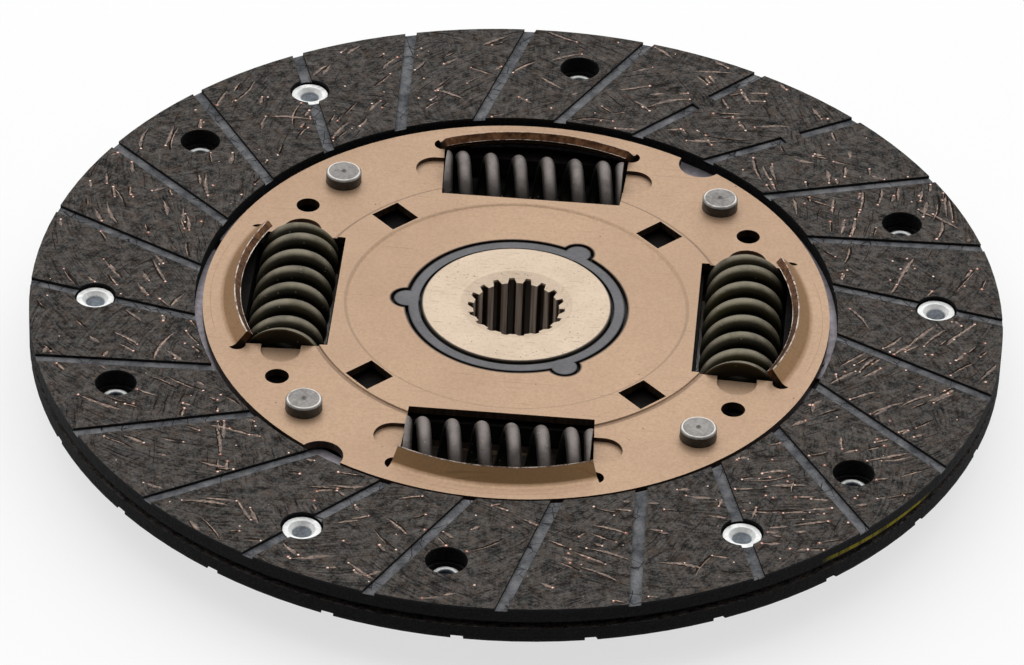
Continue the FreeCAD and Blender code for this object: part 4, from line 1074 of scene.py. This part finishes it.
def main():
    bpy.context.scene.view_settings.view_transform = "Standard"
    dress(["front_facing"], lining_look("friction_lining", rear=False))
    dress(["rear_facing"], lining_look("friction_lining_rear", rear=True))
    dress(["front_cover_plate"], plate_look("plate_sheet", painted_shade_inside=False))
    dress(["rear_cover_plate"], plate_look("plate_sheet_rear", painted_shade_inside=True))
    dress(SEGMENTS + ["support_plate", "diaphragm_spring"], segment_look())
    dress(["front_facing_rivets"], rivet_look("rivet_steel", RIVET_ANGLE))
    dress(["rear_facing_rivets"], rivet_look("rivet_steel_rear", RIVET_ANGLE + RIVET_SPREAD))
    dress(["segment_rivets"], steel_look(
        "rivet_steel_dark", (0.06, 0.055, 0.05), (0.16, 0.15, 0.14), 0.4, 0.5, 1300.0, 0.00003))
    dress(PINS, pin_look())
    # Painted shade: the flange's dark steel, seen only deep through the plates' holes, is made near
    # black.
    dress(["hub_flange"], steel_look(
        "flange_steel", (0.003, 0.0025, 0.0025), (0.011, 0.009, 0.008), 0.62, 0.0, 900.0, 0.00004,
        specular=0.08))
    dress(HEAVY_SPRINGS, spring_look(
        "heavy_spring_wire", (0.024, 0.020, 0.012), (0.050, 0.043, 0.028), (0.046, 0.040, 0.009),
        (0.205, 0.180, 0.130), 0.40, HEAVY_SPRING_RADIUS))
    dress(LIGHT_SPRINGS, spring_look(
        "light_spring_wire", (0.046, 0.040, 0.038), (0.090, 0.080, 0.077), (0.065, 0.053, 0.045),
        (0.205, 0.180, 0.168), 0.38, LIGHT_SPRING_RADIUS))
    dress(["friction_bush", "rear_friction_ring"], bush_look())
    dress(["hub"], hub_look())
    soften_plate(NODES["front_cover_plate"].data.materials[0])
    # Painted highlights: near-white strips along the hoods' free edges.
    add_hood_edges(copper_look(
        "hood_edge_highlight", (0.17, 0.095, 0.060), (0.90, 0.78, 0.68), 0.07, patch_scale=230.0))
    metals = [copper_look("copper_smear", (0.024, 0.019, 0.016), (0.215, 0.145, 0.108), 0.13),
              copper_look("copper_strand", (0.060, 0.036, 0.024), (0.480, 0.330, 0.250), 0.13),
              crack_look(),
              copper_look("copper_end", (0.78, 0.46, 0.32), (0.98, 0.86, 0.78), 0.2, metallic=0.0),
              copper_look("rust_stain", (0.030, 0.016, 0.010), (0.300, 0.095, 0.040), 0.15)]
    add_strands("front_facing_strands", False, 11, metals)
    add_strands("rear_facing_strands", True, 12, metals)
    add_floor()
    light_scene()
    add_camera()


def write_sizes():
    """The CAD box and the dressed model's box, as plain lists of metres. Nothing is written: the lists
    are left unused.
    """
    pairs = (("cad", CAD_BOX), ("visual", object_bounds()))
    boxes = {name: [list(corner) for corner in box] for name, box in pairs}


main()
write_sizes()
